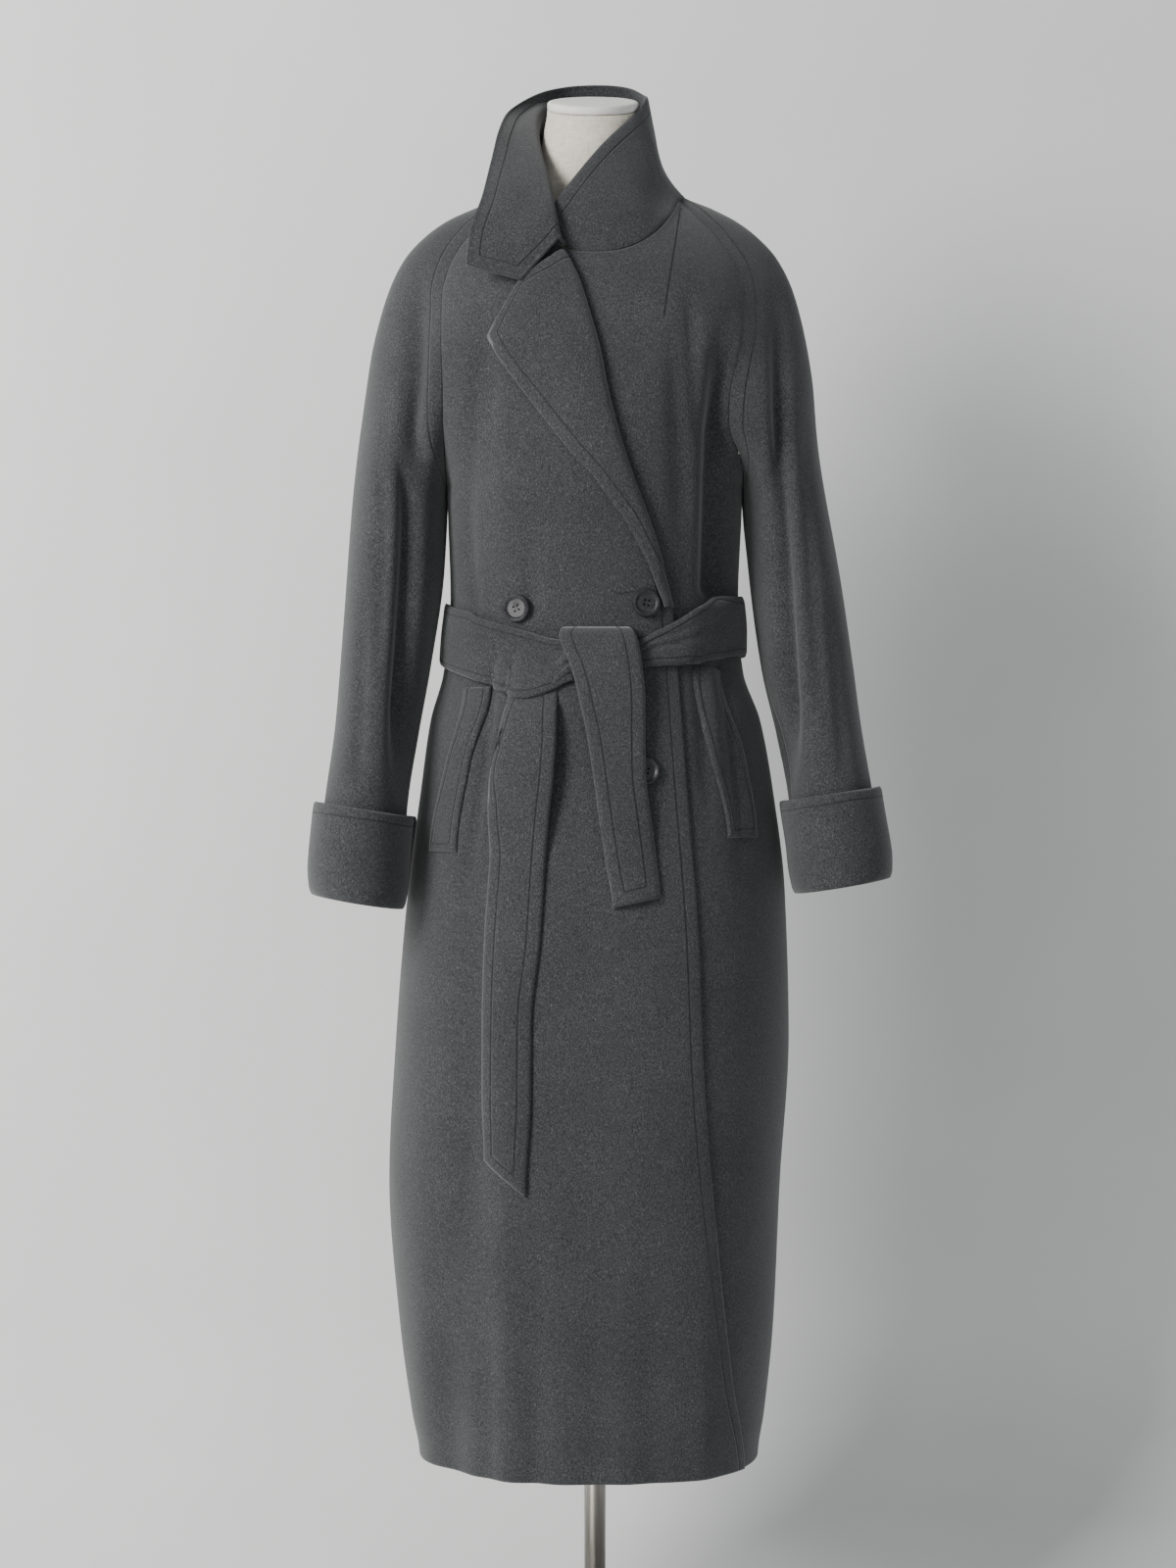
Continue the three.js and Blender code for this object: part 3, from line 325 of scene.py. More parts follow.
def sleeve_half(h, side, behind, t):
    """Half of a sleeve's section as a cubic from the seam to the outer edge."""
    name = "Right" if side < 0 else "Left"
    out = side * SLEEVE.read("out" + name, h)
    centre = SLEEVE.read("centre", h)
    tube = h <= ARMPIT
    seam_x, seam_y = seam(h, side, behind)
    x0 = np.where(tube, side * SLEEVE.read("in" + name, h), seam_x)
    y0 = np.where(tube, centre, seam_y)
    wrap = np.where(tube, 1, (1 - np.clip((h - ARMPIT) / 190, 0, 1)) ** 1.5)
    away = 1 if behind else -1
    heading = np.radians(mix(-40, 90, wrap))
    chord = np.hypot(out - x0, centre - y0)
    rounded = 4 / 3 * (SLEEVE.read("deep", h) - np.abs(y0 - centre) / 2)
    reach = mix(0.38 * chord, rounded, wrap)
    x1 = x0 + side * np.cos(heading) * reach
    y1 = y0 + away * np.sin(heading) * reach
    s = 1 - t
    x = s**3 * x0 + 3 * s * s * t * x1 + (3 * s * t * t + t**3) * out
    y = s**3 * y0 + 3 * s * s * t * y1 + 3 * s * t * t * (centre + away * reach) + t**3 * centre
    return x, y


def sleeve(h, side, along):
    """A point of a sleeve: along runs 0 to 1 from its front edge round to its back edge."""
    def flat(at):
        front = sleeve_half(h, side, False, np.clip(2 * at, 0, 1))
        rear = sleeve_half(h, side, True, np.clip(2 - 2 * at, 0, 1))
        return [np.where(at > 0.5, r, f) for f, r in zip(front, rear)]
    x, y = flat(along)
    ahead, before = flat(np.minimum(along + 0.004, 1)), flat(np.maximum(along - 0.004, 0))
    run_x, run_y = ahead[0] - before[0], ahead[1] - before[1]
    size = np.maximum(np.hypot(run_x, run_y), 1e-9)
    inwards = np.zeros(np.broadcast(h, along).shape)
    for which, rear, low, high, at_low, at_high, wide, deep in TROUGHS:
        if which != side:
            continue
        t = np.clip((h - low) / (high - low), 0, 1)
        fade = step(t, 0, 0.2) * (1 - step(t, 0.6, 1))
        across = np.exp(-((np.abs(x) - mix(at_low, at_high, t)) / wide) ** 2)
        here = step(along, 0.5, 0.52) if rear else 1 - step(along, 0.48, 0.5)
        inwards = inwards + deep * fade * across * here
    inwards = inwards * step(np.minimum(along, 1 - along), 0, 0.05)
    x = x - side * inwards * run_y / size
    y = y + side * inwards * run_x / size
    middle = side * (SLEEVE.read("outLeft", h) + SLEEVE.read("inLeft", h)) / 2
    lean = SLEEVE.read("lean", h) / 50 * side * (x - middle)
    z = np.where(h > ARMPIT, level(h, y), h + lean)
    return np.stack([x, y, z], axis=-1)


def on_front(x, z):
    """The front's point at an x and a height: the ring through it is found by halving."""
    low = np.broadcast_to(z, np.broadcast(x, z).shape).astype(float)
    high = np.where(low <= ARMPIT, low, NECKLINE)
    for _ in range(24):
        middle = (low + high) / 2
        below = body(middle, turn_at(middle, x))[..., 2] < z
        low, high = np.where(below, middle, low), np.where(below, high, middle)
    return body(low, turn_at(low, x))


def lift_at(x):
    """How far the right front stands out where it laps over the left one."""
    return OVERLAY * step(x, LEFT_EDGE - 38, LEFT_EDGE - 8)


def through(points, t):
    """A smooth curve through rows of points at even steps (a Catmull-Rom curve)."""
    last = len(points) - 1
    at = np.clip(t, 0, 1) * last
    i = np.minimum(at.astype(int), last - 1)
    f = (at - i)[:, None, None] if points.ndim == 3 else (at - i)[:, None]
    a, b = points[np.maximum(i - 1, 0)], points[i]
    c, d = points[i + 1], points[np.minimum(i + 2, last)]
    return 0.5 * (2 * b + (c - a) * f + (2 * a - 5 * b + 4 * c - d) * f**2
                  + (3 * b - a - 3 * c + d) * f**3)


# ---- meshes -------------------------------------------------------------------------------

def put_mesh(name, points, quads, material, values=None, uv=None):
    """A mesh from points in millimetres and quads, with its finish and its attributes."""
    mesh = bpy.data.meshes.new(name)
    mesh.vertices.add(len(points))
    mesh.vertices.foreach_set("co", (points * MM).astype(np.float32).ravel())
    mesh.loops.add(quads.size)
    mesh.loops.foreach_set("vertex_index", quads.astype(np.int32).ravel())
    mesh.polygons.add(len(quads))
    mesh.polygons.foreach_set("loop_start", np.arange(0, quads.size, 4, dtype=np.int32))
    mesh.update(calc_edges=True)
    mesh.polygons.foreach_set("use_smooth", np.ones(len(quads), dtype=bool))
    if values is not None:
        attribute = mesh.attributes.new("stitch", "FLOAT", "POINT")
        attribute.data.foreach_set("value", values.astype(np.float32).ravel())
    if uv is not None:
        layer = mesh.uv_layers.new(name="UVMap")
        layer.data.foreach_set("uv", (uv[quads.ravel()] * MM).astype(np.float32).ravel())
    mesh.materials.append(material)
    mesh.validate()
    piece = bpy.data.objects.new(name, mesh)
    bpy.context.scene.collection.objects.link(piece)
    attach(piece, "root")
    return piece


def grid_quads(rows, columns, wrap=False):
    """The quads of a grid of points, its columns joined round when wrap is set."""
    r = np.arange(rows - 1)[:, None]
    c = np.arange(columns if wrap else columns - 1)[None, :]
    d = (c + 1) % columns
    quads = [r * columns + c, r * columns + d, (r + 1) * columns + d, (r + 1) * columns + c]
    return np.stack([q + 0 * r + 0 * c for q in quads], axis=-1).reshape(-1, 4)


def outward(points):
    """The direction across a grid's face at each point: the cross of its two runs."""
    across = np.gradient(points, axis=1)
    up = np.gradient(points, axis=0)
    normal = np.cross(across, up)
    return normal / np.maximum(np.linalg.norm(normal, axis=-1, keepdims=True), 1e-9)


def cloth(name, points, out=0.0, thick=CLOTH, flip=False, stitched="",
          inset=STITCH_IN, crisp=1.0):
    """A sheet of wool: the grid moved out, thickened inwards, its free edges eased.

    stitched names the edges that a line of stitches follows: l, r, t, b for the first and the
    last column and the last and the first row. crisp says how far the edges round inwards.
    """
    if flip:
        points = points[:, ::-1]
        stitched = stitched.translate(str.maketrans("lr", "rl"))
        if np.ndim(out) == 2 and out.shape[1] > 1:
            out = out[:, ::-1]
    normals = outward(points)
    base = points + normals * np.broadcast_to(out, points.shape[:2])[..., None]
    run = np.linalg.norm(np.diff(base, axis=1), axis=-1)
    rise = np.linalg.norm(np.diff(base, axis=0), axis=-1)
    u = np.concatenate([np.zeros((len(base), 1)), np.cumsum(run, axis=1)], axis=1)
    v = np.concatenate([np.zeros((1, base.shape[1])), np.cumsum(rise, axis=0)], axis=0)
    sides = {"l": u, "r": u[:, -1:] - u, "b": v, "t": v[-1:] - v}
    nearest = np.min([sides[s] for s in "lrtb"], axis=0)
    base = base - normals * (crisp * np.exp(-(nearest / 2.2) ** 2))[..., None]
    lines = [sides[s] - inset for s in stitched]
    line = np.full(u.shape, FAR)
    if lines:
        inside = np.min(lines, axis=0)
        line = np.clip(inside, -FAR, FAR)
    rows, columns = u.shape
    uv = np.stack([u - u.mean(axis=1, keepdims=True), v], axis=-1).reshape(-1, 2)
    piece = put_mesh(name + "_cloth", base.reshape(-1, 3), grid_quads(rows, columns), WOOL,
                     line.ravel(), uv)
    wall = piece.modifiers.new("wall", "SOLIDIFY")
    wall.thickness = thick * MM
    wall.offset = -1
    wall.use_even_offset = False
    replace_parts(piece, name)
    return piece


def edged(count, length):
    """Places from 0 to 1, even but for a closer one by each end."""
    inner = np.linspace(0, 1, count)
    close = 2.2 / length
    return np.unique(np.concatenate([[0, close, 1 - close, 1], inner[1:-1]]))


# ---- materials ----------------------------------------------------------------------------

class Value:
    """A socket on which arithmetic adds Math nodes."""

    def __init__(self, tree, socket):
        self.tree, self.socket = tree, socket

    def math(self, operation, *others):
        return self.tree.node("ShaderNodeMath", {"operation": operation}, [self, *others])

    def __add__(self, other):
        return self.math("ADD", other)

    def __radd__(self, other):
        return self.math("ADD", other)

    def __sub__(self, other):
        return self.math("SUBTRACT", other)

    def __mul__(self, other):
        return self.math("MULTIPLY", other)

    def __rmul__(self, other):
        return self.math("MULTIPLY", other)

    def __rsub__(self, other):
        return self.tree.node("ShaderNodeMath", {"operation": "SUBTRACT"}, [other, self])


class Finish:
    """A material's nodes: node() takes a type, its settings, and its inputs' values."""

    def __init__(self, name, **constants):
        self.material = bpy.data.materials.new(name)
        self.material.use_nodes = True
        self.nodes = self.material.node_tree.nodes
        self.links = self.material.node_tree.links
        self.shader = self.nodes["Principled BSDF"]
        for socket, value in constants.items():
            self.shader.inputs[socket.replace("_", " ")].default_value = value

    def node(self, kind, settings, inputs, output=0):
        made = self.nodes.new(kind)
        for key, value in settings.items():
            setattr(made, key, value)
        pairs = inputs.items() if isinstance(inputs, dict) else enumerate(inputs)
        for key, value in pairs:
            self.feed(made.inputs[key], value)
        return Value(self, made.outputs[output])

    def feed(self, socket, value):
        if isinstance(value, Value):
            self.links.new(value.socket, socket)
        else:
            socket.default_value = value

    def place(self):
        return self.node("ShaderNodeTexCoord", {}, [], "Object")

    def noise(self, scale, detail=2.0, stretch=(1, 1, 1), rough=0.5):
        at = self.node("ShaderNodeMapping", {}, {"Vector": self.place(), "Scale": stretch})
        inputs = {"Vector": at, "Scale": scale, "Detail": detail, "Roughness": rough}
        return self.node("ShaderNodeTexNoise", {}, inputs)

    def ramp(self, value, stops):
        made = self.nodes.new("ShaderNodeValToRGB")
        self.links.new(value.socket, made.inputs[0])
        while len(made.color_ramp.elements) < len(stops):
            made.color_ramp.elements.new(0.5)
        for element, (at, colour) in zip(made.color_ramp.elements, stops):
            element.position = at
            element.color = (*colour, 1)
        return Value(self, made.outputs[0])

    def blend(self, factor, a, b, kind="MIX"):
        made = self.nodes.new("ShaderNodeMix")
        made.data_type = "RGBA"
        made.blend_type = kind
        self.feed(made.inputs[0], factor)
        self.feed(made.inputs[6], a)
        self.feed(made.inputs[7], b)
        return Value(self, made.outputs[2])

    def seam_shade(self, start, end, wide):
        """1 on a straight line across the front, in x and z, falling to 0 beside it, where shade is painted
        along a seam:
        the distance across is the cross product with the line's run, cut off past both ends."""
        x, y, z = (self.node("ShaderNodeSeparateXYZ", {}, [self.place()], i) for i in range(3))
        (x0, z0), (x1, z1) = (np.array(start) * MM, np.array(end) * MM)
        size = math.hypot(x1 - x0, z1 - z0)
        run_x, run_z = float((x1 - x0) / size), float((z1 - z0) / size)
        off_x, off_z = x - float(x0), z - float(z0)
        across = (off_x * run_z - off_z * run_x).math("ABSOLUTE")
        along = off_x * run_x + off_z * run_z
        inside = along.math("GREATER_THAN", 0.0) * along.math("LESS_THAN", size)
        groove_and_painted_shade = self.node("ShaderNodeMapRange", {"interpolation_type": "SMOOTHSTEP"},
                         [across, 0.0, wide * MM, 1.0, 0.0])
        return groove_and_painted_shade * inside * y.math("LESS_THAN", 0.0)

    def bump(self, height, strength, distance):
        inputs = {"Height": height, "Strength": strength, "Distance": distance}
        self.feed(self.shader.inputs["Normal"], self.node("ShaderNodeBump", {}, inputs))


def make_wool():
    """Brushed heather wool: dark and pale fibres mixed, felted nap, lines of stitches sunk in the bump and
    painted darker as the shade in their grooves.
    """
    finish = Finish("heather_wool", Roughness=0.95, Sheen_Weight=0.22, Sheen_Roughness=0.55)
    finish.shader.inputs["Specular IOR Level"].default_value = 0.12
    fibre = finish.noise(1300, 3, (1, 1, 0.45), 0.7)
    fleck = finish.noise(760, 2, (1.1, 1, 0.7), 0.6)
    cloud = finish.noise(14, 3)
    tone = finish.ramp(fleck, [(0.30, (0.020, 0.021, 0.023)), (0.50, (0.044, 0.046, 0.049)),
                               (0.62, (0.060, 0.062, 0.065)), (0.78, (0.115, 0.117, 0.119))])
    hair = finish.ramp(fibre, [(0.36, (0.55, 0.55, 0.56)), (0.55, (1.0, 1.0, 1.0)),
                               (0.74, (1.65, 1.65, 1.63))])
    mottled = finish.blend(1.0, tone, hair, "MULTIPLY")
    drift = finish.ramp(cloud, [(0.3, (0.9, 0.9, 0.9)), (0.7, (1.1, 1.1, 1.1))])
    line = finish.node("ShaderNodeAttribute", {"attribute_name": "stitch"}, [], "Fac")
    # A mask that is 1 on each stitch line: it sinks the bump and paints shade into the colour.
    groove_and_painted_shade = finish.node("ShaderNodeMapRange", {"interpolation_type": "SMOOTHSTEP"},
                       [line.math("ABSOLUTE"), 0.0, 1.7, 1.0, 0.0])
    colour = finish.blend(1.0, mottled, drift, "MULTIPLY")
    for start, end, wide in SEAM_SHADE_LINES:
        groove_and_painted_shade = groove_and_painted_shade.math("MAXIMUM", finish.seam_shade(start, end, wide))
    # Painted shade: the colour is darkened towards near-black along the stitch lines, the neck dart and the
    # buttonhole, standing in for the shade in their grooves.
    colour = finish.blend(groove_and_painted_shade * 0.55, colour, (0.012, 0.012, 0.013, 1))
    finish.feed(finish.shader.inputs["Base Color"], colour)
    nap = fibre * 0.5 + finish.noise(420, 3) * 0.6
    finish.bump(nap * 0.35 - groove_and_painted_shade * 1.1, 0.75, 0.0011)
    return finish.material


def make_horn():
    """Polished dark horn resin with faint streaks."""
    finish = Finish("dark_horn", Roughness=0.4, Coat_Weight=0.08)
    finish.shader.inputs["Specular IOR Level"].default_value = 0.3
    streak = finish.noise(160, 4, (1, 1, 3))
    finish.feed(finish.shader.inputs["Base Color"],
                finish.ramp(streak, [(0.35, (0.010, 0.010, 0.012)), (0.7, (0.034, 0.034, 0.038))]))
    finish.feed(finish.shader.inputs["Roughness"], finish.noise(300, 2) * 0.14 + 0.36)
    return finish.material


def make_linen():
    """Tight cream linen over the form, with a fine plain weave."""
    finish = Finish("cream_linen", Roughness=0.9)
    warp = finish.noise(700, 2, (1, 1, 0.12))
    weft = finish.noise(700, 2, (0.12, 0.12, 1))
    weave = warp + weft
    shade = finish.ramp(weave * 0.5, [(0.35, (0.56, 0.52, 0.44)), (0.65, (0.74, 0.70, 0.61))])
    finish.feed(finish.shader.inputs["Base Color"], shade)
    finish.bump(weave, 0.35, 0.0006)
    return finish.material


def make_cap():
    """Satin off-white neck cap with light scuffs."""
    finish = Finish("satin_cap", Roughness=0.5)
    scuff = finish.noise(60, 5)
    shade = finish.ramp(scuff, [(0.3, (0.70, 0.69, 0.66)), (0.7, (0.80, 0.79, 0.76))])
    finish.feed(finish.shader.inputs["Base Color"], shade)
    finish.feed(finish.shader.inputs["Roughness"], scuff * 0.2 + 0.4)
    return finish.material


def make_steel():
    """Brushed steel, its grain along the pole."""
    finish = Finish("brushed_steel", Metallic=1.0, Roughness=0.34)
    grain = finish.noise(900, 3, (1, 1, 0.02))
    shade = finish.ramp(grain, [(0.3, (0.40, 0.385, 0.365)), (0.7, (0.60, 0.58, 0.55))])
    finish.feed(finish.shader.inputs["Base Color"], shade)
    finish.feed(finish.shader.inputs["Roughness"], grain * 0.22 + 0.24)
    finish.bump(grain, 0.12, 0.0003)
    return finish.material


WOOL = make_wool()
HORN = make_horn()
LINEN = make_linen()
CAP = make_cap()
STEEL = make_steel()


# ---- the coat -----------------------------------------------------------------------------

def rows_of(low, high, count):
    """A column of heights, closer together by both ends."""
    return mix(low, high, edged(count, high - low))[:, None]


def make_panels():
    """The back and the two fronts: each row runs round its ring from edge to edge, the right
    front's to the front edge's curve and the left front's from its hidden edge."""
    h = rows_of(HEM, NECKLINE, 250)
    u = edged(84, 450)[None, :]
    turns = mix(seam_turn(h, -1, True), seam_turn(h, 1, True), u)
    cloth("back", body(h, turns, True), flip=True, stitched="b",
          inset=38, crisp=0.3)
    edge = turn_at(h, FRONT_EDGE.read("x", h))
    right = body(h, mix(seam_turn(h, -1, False), edge, u))
    cloth("front_right", right, out=lift_at(right[..., 0]),
          stitched="r", inset=12, crisp=0.5)
    left = body(h, mix(turn_at(h, LEFT_EDGE), seam_turn(h, 1, False), u))
    cloth("front_left", left, crisp=0.3)


def ease_armpit(points, h, along):
    """Each point moved towards the middle of the two above and below it, again and again, in
    a band about the armpit's height that fades out towards the seams."""
    band = np.exp(-((h - ARMPIT) / 75) ** 2) * step(np.minimum(along, 1 - along), 0.02, 0.12)
    share = 0.5 * band[1:-1, :, None]
    for _ in range(160):
        points[1:-1] = mix(points[1:-1], (points[:-2] + points[2:]) / 2, share)
    return points


def make_sleeves():
    """Each sleeve from the wrist to the neckline, and a cuff: the sleeve's lowest rows again,
    moved out by a rising distance and a slow wave round the arm."""
    along = edged(92, 420)[None, :]
    for side, name in ((-1, "right"), (1, "left")):
        h = np.concatenate([rows_of(WRIST[side] + 2, ARMPIT, 90)[:-1], rows_of(ARMPIT, NECKLINE, 90)])
        points = ease_armpit(sleeve(h, side, along), h, along)
        cloth("sleeve_" + name, points, flip=side < 0,
              stitched="l", inset=15, crisp=0.3)
        rise = rows_of(0, CUFF_HEIGHT, 34)
        out = Table("rise out", [(0, OVERLAY), (7, 4.6), (26, 7.2), (58, 8.5), (CUFF_HEIGHT, 9.5)])
        wave = 1.4 * np.sin(9 * along + 2 * side) * step(rise, 20, CUFF_HEIGHT)
        turned = sleeve(WRIST[side] + rise, side, along)
        cloth("cuff_" + name, turned, flip=side < 0,
              out=out.read("out", rise) + wave, stitched="t", inset=10, crisp=1.2)


def collar_foot(piece, at):
    """The neckline under a station of the collar, with the right front's own stand-out."""
    h = np.array(NECKLINE)
    if piece.startswith("sleeve"):
        return sleeve(h, -1 if piece.endswith("Right") else 1, np.array(at))
    behind = piece == "back"
    foot = body(h, turn_at(h, np.array(float(at)), behind), behind)
    return foot - [0, OVERLAY if piece == "frontRight" else 0, 0]


def make_collar():
    """A smooth curve through four rails of stations: foot, roll, middle and free edge. The
    wing's end is straight between its rails, so its corner stays sharp."""
    rails = np.array([[collar_foot(piece, at) + [0, 0, FOOT_GAP], roll, middle, edge]
                      for piece, at, roll, middle, edge in COLLAR], dtype=float)
    length_places = edged(190, 620)
    stations = through(rails, length_places)
    place = edged(34, 110)
    points = through(stations.transpose(1, 0, 2), place)
    rails_across = np.arange(4) / 3
    straight = np.stack([[np.interp(place, rails_across, station[:, axis]) for axis in range(3)]
                         for station in stations]).transpose(2, 0, 1)
    corner = 1 - step(length_places, 0.0, 0.055)
    points = mix(points, straight, corner[None, :, None])
    cloth("collar", points, flip=True, stitched="lrt",
          inset=14, crisp=1.0)


def make_lapel():
    """The right front's surface again from the free edge to the roll, moved out; a quarter
    circle at the roll turns it under."""
    at = mix(0, 9, edged(120, 420))
    t = edged(40, 90)[None, :]
    roll_x, roll_z = LAPEL.read("rollX", at)[:, None], LAPEL.read("rollZ", at)[:, None]
    steps, _, _, edges_x, edges_z = LAPEL.data.T
    edge_x, edge_z = np.interp(at, steps, edges_x)[:, None], np.interp(at, steps, edges_z)[:, None]
    points = on_front(mix(edge_x, roll_x + 2.5, t), mix(edge_z, roll_z, t))
    wide = np.hypot(edge_x - roll_x, edge_z - roll_z)
    turn = np.clip((1 - t) * wide / 9, 0, 1)
    out = OVERLAY - 0.6 + (CLOTH + LYING + 4.0) * np.sqrt(1 - (1 - turn) ** 2)
    puff = 3.0 * np.sin(math.pi * t) * step(wide, 10, 60)
    cloth("lapel_right", points, out=out + puff, stitched="lt",
          inset=13, crisp=1.0)


def around(h, turn):
    """A point round the whole body by its turn, in degrees, from the front over the right."""
    front = body(h, np.radians(np.where(turn < 180, -turn, 360 - turn)))
    rear = body(h, np.radians(turn - 180), True)
    return np.where(((turn >= 90) & (turn < 270))[..., None], rear, front)


def make_belt():
    """A band round the body between two heights: bowed out across its width, with two creases
    that deepen towards the knot."""
    turn = mix(5, 349, edged(330, 940))[None, :]
    v = edged(20, 62)[:, None]
    z = mix(BELT.read("bottom", turn), BELT.read("top", turn), v)
    points = around(z, turn + 0 * z)
    x = points[..., 0]
    lift = np.where(points[..., 1] > 0, 0, OVERLAY * step(x, LEFT_EDGE - 60, LEFT_EDGE - 36)
                    * (1 - step(x, 86, 112)))
    tied = step(-turn, -58, -14) + step(turn, 304, 346)
    crease = tied * (2.4 * np.exp(-((v - 0.42 - 0.1 * tied) / 0.07) ** 2)
                     + 1.6 * np.exp(-((v - 0.74) / 0.05) ** 2))
    sag = 0.8 * np.sin(np.radians(turn) * 7) * np.sin(math.pi * v)
    cloth("belt_waist", points, flip=True, thick=BELT_CLOTH,
          out=lift + BELT_EASE + BELT_CLOTH + 1.5 * np.sin(math.pi * v) + sag - crease, crisp=1.4,
          stitched="tb", inset=7)


def make_knot():
    """The turn of the belt behind the short end: a bulging patch with one diagonal fold."""
    u, v = edged(40, 80)[None, :], edged(36, 60)[:, None]
    left, right = mix(-58, -34, v), 0 * v + 38
    low, high = mix(988, 1014, step(u, 0, 0.5)), 0 * u + 1046
    points = on_front(mix(left, right, u), mix(low, high, v))
    dome = np.sin(math.pi * np.clip(v, 0, 1)) ** 0.5
    fold = 3 * np.exp(-((v - 0.25 - 0.6 * u) / 0.09) ** 2)
    out = OVERLAY + BELT_EASE + BELT_CLOTH * 0.6 + 6.4 * dome * step(u, 0, 0.25) - fold
    cloth("belt_knot", points, out=out, thick=BELT_CLOTH, crisp=1.4)


def make_tail(name, table, stitched, slant):
    """A hanging end of the belt: across from one edge to the other at each height, standing
    out as its table says, and slanted at the bottom."""
    low, high = table.data[0, 0], table.data[-1, 0]
    v, u = edged(90, high - low)[:, None], edged(26, 50)[None, :]
    z = mix(low, high, v)
    start, end = table.read("from", z), table.read("to", z)
    x = mix(start, end, u)
    points = on_front(x, z + slant * (u - 0.5) * (1 - v) ** 6)
    bow = 1.6 * np.sin(math.pi * u) + 1.2 * np.sin(5 * v + 3 * u)
    bow = bow * (1 - step(v, 0.9, 0.96))
    out = OVERLAY + LYING + BELT_CLOTH + table.read("out", z) + bow
    cloth(name, points, out=out, thick=BELT_CLOTH, stitched=stitched,
          crisp=1.4)


def make_pockets():
    """Slanted welts that lie on the fronts."""
    for name, table, lift in (("pocket_right", POCKET_RIGHT, lift_at),
                              ("pocket_left", POCKET_LEFT, lambda x: 0 * x)):
        z = rows_of(table.data[0, 0], table.data[-1, 0], 60)
        u = edged(14, 30)[None, :]
        points = on_front(mix(table.read("from", z), table.read("to", z), u), z)
        cloth(name, points, out=lift(points[..., 0]) + CLOTH + 0.3,
              stitched="lrb", inset=8, crisp=1.6)


# ---- the dress form and its stand ---------------------------------------------------------

def turned(name, profile, material, slot):
    """A closed body round the vertical axis from a profile of radius and height."""
    radius, height = np.array(profile, dtype=float).T
    turn = np.linspace(0, 2 * math.pi, 96, endpoint=False)[None, :]
    points = np.stack([radius[:, None] * np.cos(turn), radius[:, None] * np.sin(turn),
                       height[:, None] + 0 * turn], axis=-1)
    piece = put_mesh(name, points.reshape(-1, 3), grid_quads(len(radius), 96, True), material)
    merge = piece.modifiers.new("merge", "WELD")
    merge.merge_threshold = 0.00005
    return piece


def form_rings(z, scale, up):
    """Rings of the form: an ellipse with its own front and back depth, leaning forward."""
    turn = np.linspace(0, 2 * math.pi, 96, endpoint=False)[None, :]
    depth = np.where(np.sin(turn) < 0, FORM.read("front", z), FORM.read("back", z))
    y = np.sin(turn) * depth * scale
    lean = FORM.read("lean", z)
    x = FORM.read("x", z) + FORM.read("wide", z) * scale * np.cos(turn)
    return np.stack([x, FORM.read("y", z) + y - up * lean, z + y * lean + up], axis=-1)


def make_form():
    """The form as rings of ellipses that lean forward at the neck, and its cap above them."""
    z = np.concatenate([[762, 762], np.linspace(762, 1592, 150), [1592, 1592]])[:, None]
    scale = np.ones_like(z)
    scale[[0, -1]], scale[[1, -2]] = 0.001, 0.96
    rings = form_rings(z, scale, 0 * z)
    torso = put_mesh("form_torso_cover", rings.reshape(-1, 3), grid_quads(len(z), 96, True), LINEN)
    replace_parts(torso, "form_torso")
    rise = np.array([0.3, 0.3, 0.8, 1.4, 3.5, 6, 7.4, 8.3, 8.8, 8.9, 8.9])[:, None]
    shrink = np.array([0.001, 0.96, 0.985, 1, 1, 1, 0.99, 0.965, 0.92, 0.8, 0.001])[:, None]
    rings = form_rings(1592 + 0 * rise, shrink, rise)
    cap = put_mesh("form_neck_cap_smooth", rings.reshape(-1, 3),
                   grid_quads(len(rise), 96, True), CAP)
    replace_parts(cap, "form_neck_cap")
    for piece in (torso, cap):
        piece.modifiers.new("merge", "WELD").merge_threshold = 0.0002


def make_stand():
    """The pole and the base turned from profiles, and horn on the buttons."""
    low, high = (np.array(corner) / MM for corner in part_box("pole"))
    r = (high[0] - low[0]) / 2
    pole = turned("pole_smooth", [(0, low[2]), (r, low[2]), (r, high[2]), (0, high[2])], STEEL,
                  "steel")
    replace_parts(pole, "pole")
    low, high = (np.array(corner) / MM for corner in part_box("base"))
    r, top = high[0], high[2]
    plate = [(0, 0), (r - 2, 0), (r - 0.6, 0.6), (r, 2), (r, 6), (r - 0.5, 7), (r - 4, 9)]
    plate += [(23, 10), (20.2, 11), (19, 13), (19, top - 2), (18.4, top - 0.6), (17, top), (0, top)]
    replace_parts(turned("base_smooth", plate, STEEL, "steel"), "base")
    for name in BUTTONS:
        for slot in bpy.data.objects[name].material_slots:
            slot.material = HORN


# ---- studio -------------------------------------------------------------------------------

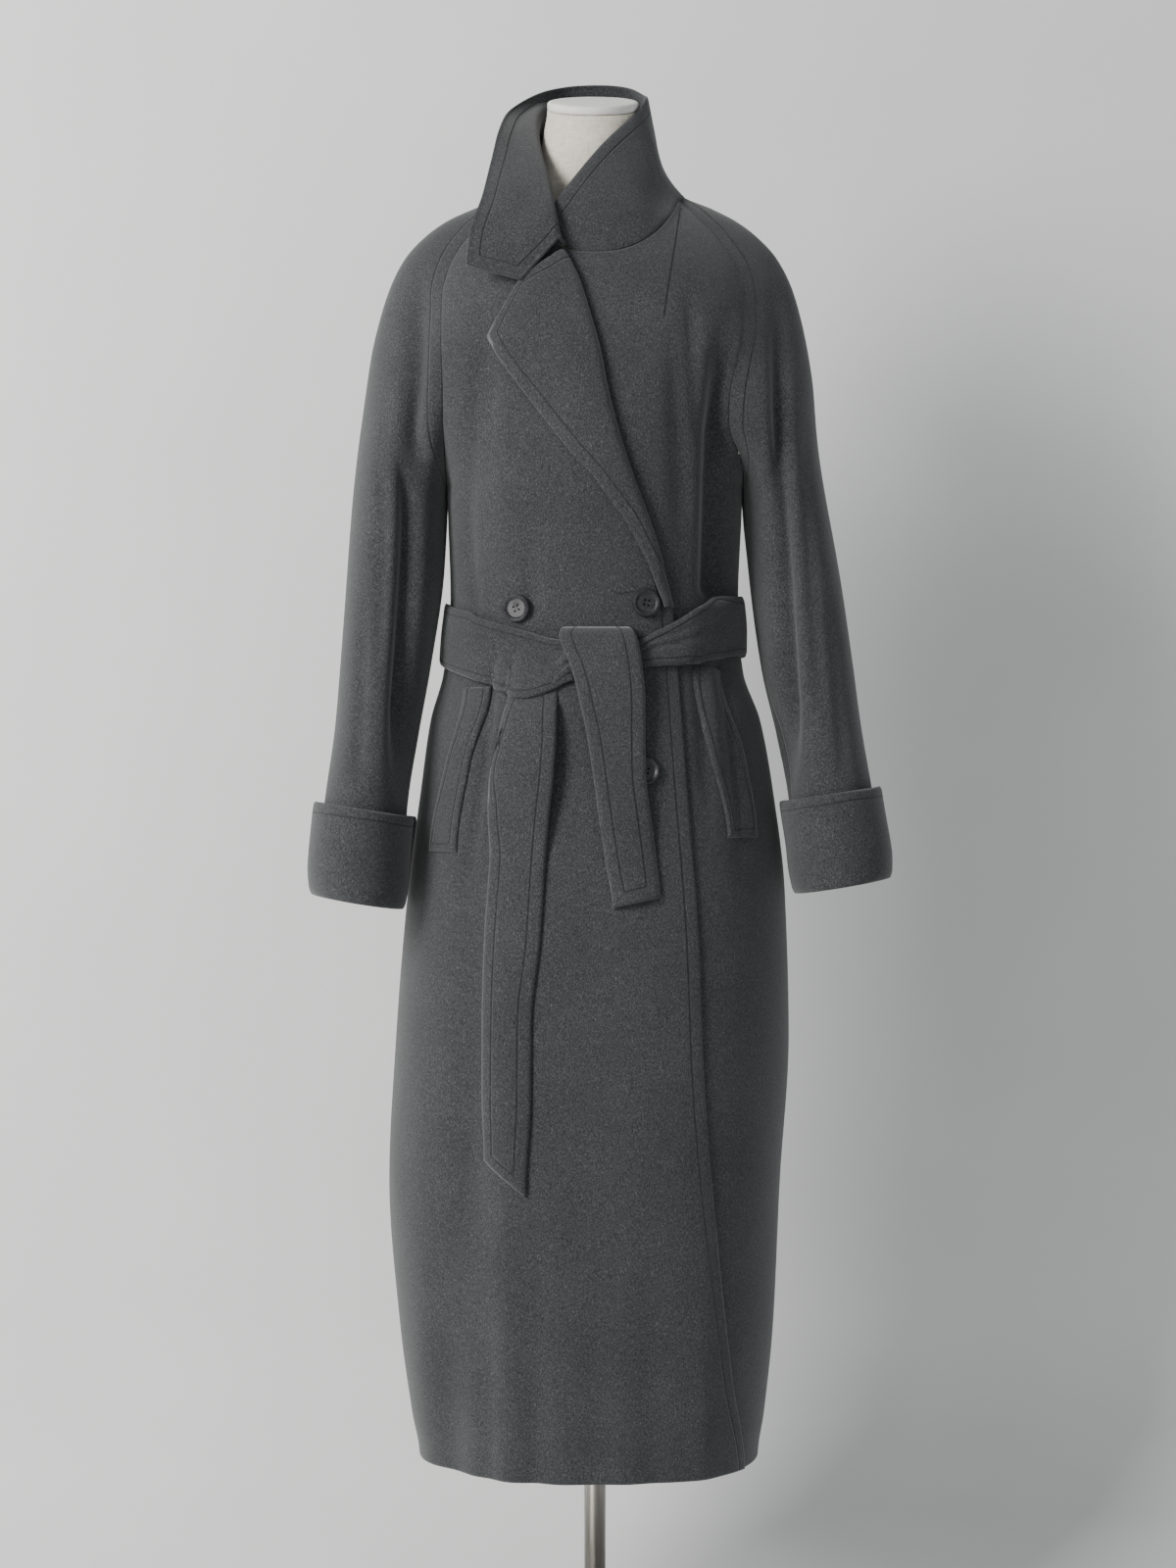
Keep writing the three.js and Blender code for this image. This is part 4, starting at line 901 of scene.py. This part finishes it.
def make_studio():
    """Camera, a curved backdrop that is clear from behind, two area lights and the room."""
    camera = bpy.data.cameras.new("camera")
    camera.lens = 63
    camera.sensor_width = 36
    stand = bpy.data.objects.new("camera", camera)
    stand.location = (-0.007, -2.8, 0.905)
    stand.rotation_euler = (math.pi / 2, 0, 0)
    bpy.context.scene.collection.objects.link(stand)
    bpy.context.scene.camera = stand
    profile = [(-4.0, 0.0), (0.10, 0.0), (0.25, 0.02), (0.36, 0.07), (0.43, 0.15), (0.46, 0.28), (0.46, 4.0)]
    sides = np.array([-4.0, 4.0])
    points = np.array([[(x, y, z) for x in sides] for y, z in profile])
    wall = bpy.data.meshes.new("backdrop")
    wall.from_pydata(points.reshape(-1, 3).tolist(), [], grid_quads(len(profile), 2).tolist())
    wall.polygons.foreach_set("use_smooth", [True] * len(wall.polygons))
    paint = Finish("pale_wall", Roughness=0.9)
    paint.feed(paint.shader.inputs["Base Color"],
               paint.ramp(paint.noise(3, 4), [(0.3, (0.76, 0.77, 0.76)), (0.7, (0.80, 0.81, 0.80))]))
    behind = paint.node("ShaderNodeNewGeometry", {}, [], "Backfacing")
    clear = paint.node("ShaderNodeBsdfTransparent", {}, [])
    seen = Value(paint, paint.shader.outputs[0])
    both = paint.node("ShaderNodeMixShader", {}, [behind, seen, clear])
    paint.feed(paint.nodes["Material Output"].inputs[0], both)
    wall.materials.append(paint.material)
    backdrop = bpy.data.objects.new("backdrop", wall)
    bpy.context.scene.collection.objects.link(backdrop)
    lights = [("window", (-2.6, -2.2, 2.3), (0, 0, 0.95), 1.3, 2.0, 185, (1.0, 0.99, 0.97)),
              ("room", (1.6, -3.2, 1.6), (0, 0, 0.9), 2.0, 2.0, 9, (0.96, 0.98, 1.0))]
    for name, place, target, width, height, power, colour in lights:
        light = bpy.data.lights.new(name, "AREA")
        light.shape = "RECTANGLE"
        light.size, light.size_y = width, height
        light.energy = power
        light.color = colour
        lamp = bpy.data.objects.new(name, light)
        lamp.location = place
        aim = np.array(target) - np.array(place)
        rise = math.asin(aim[2] / np.linalg.norm(aim))
        lamp.rotation_euler = (math.pi / 2 + rise, 0, math.atan2(aim[1], aim[0]) - math.pi / 2)
        bpy.context.scene.collection.objects.link(lamp)
    world = bpy.data.worlds.new("room")
    world.use_nodes = True
    world.node_tree.nodes["Background"].inputs[0].default_value = (0.93, 0.96, 1.0, 1)
    world.node_tree.nodes["Background"].inputs[1].default_value = 0.36
    bpy.context.scene.world = world


make_studio()
make_panels()
make_sleeves()
make_collar()
make_lapel()
make_belt()
make_knot()
make_tail("belt_tail_long", LONG_TAIL, "lrb", -34)
make_tail("belt_tail_short", SHORT_TAIL, "lrb", 10)
make_pockets()
make_form()
make_stand()
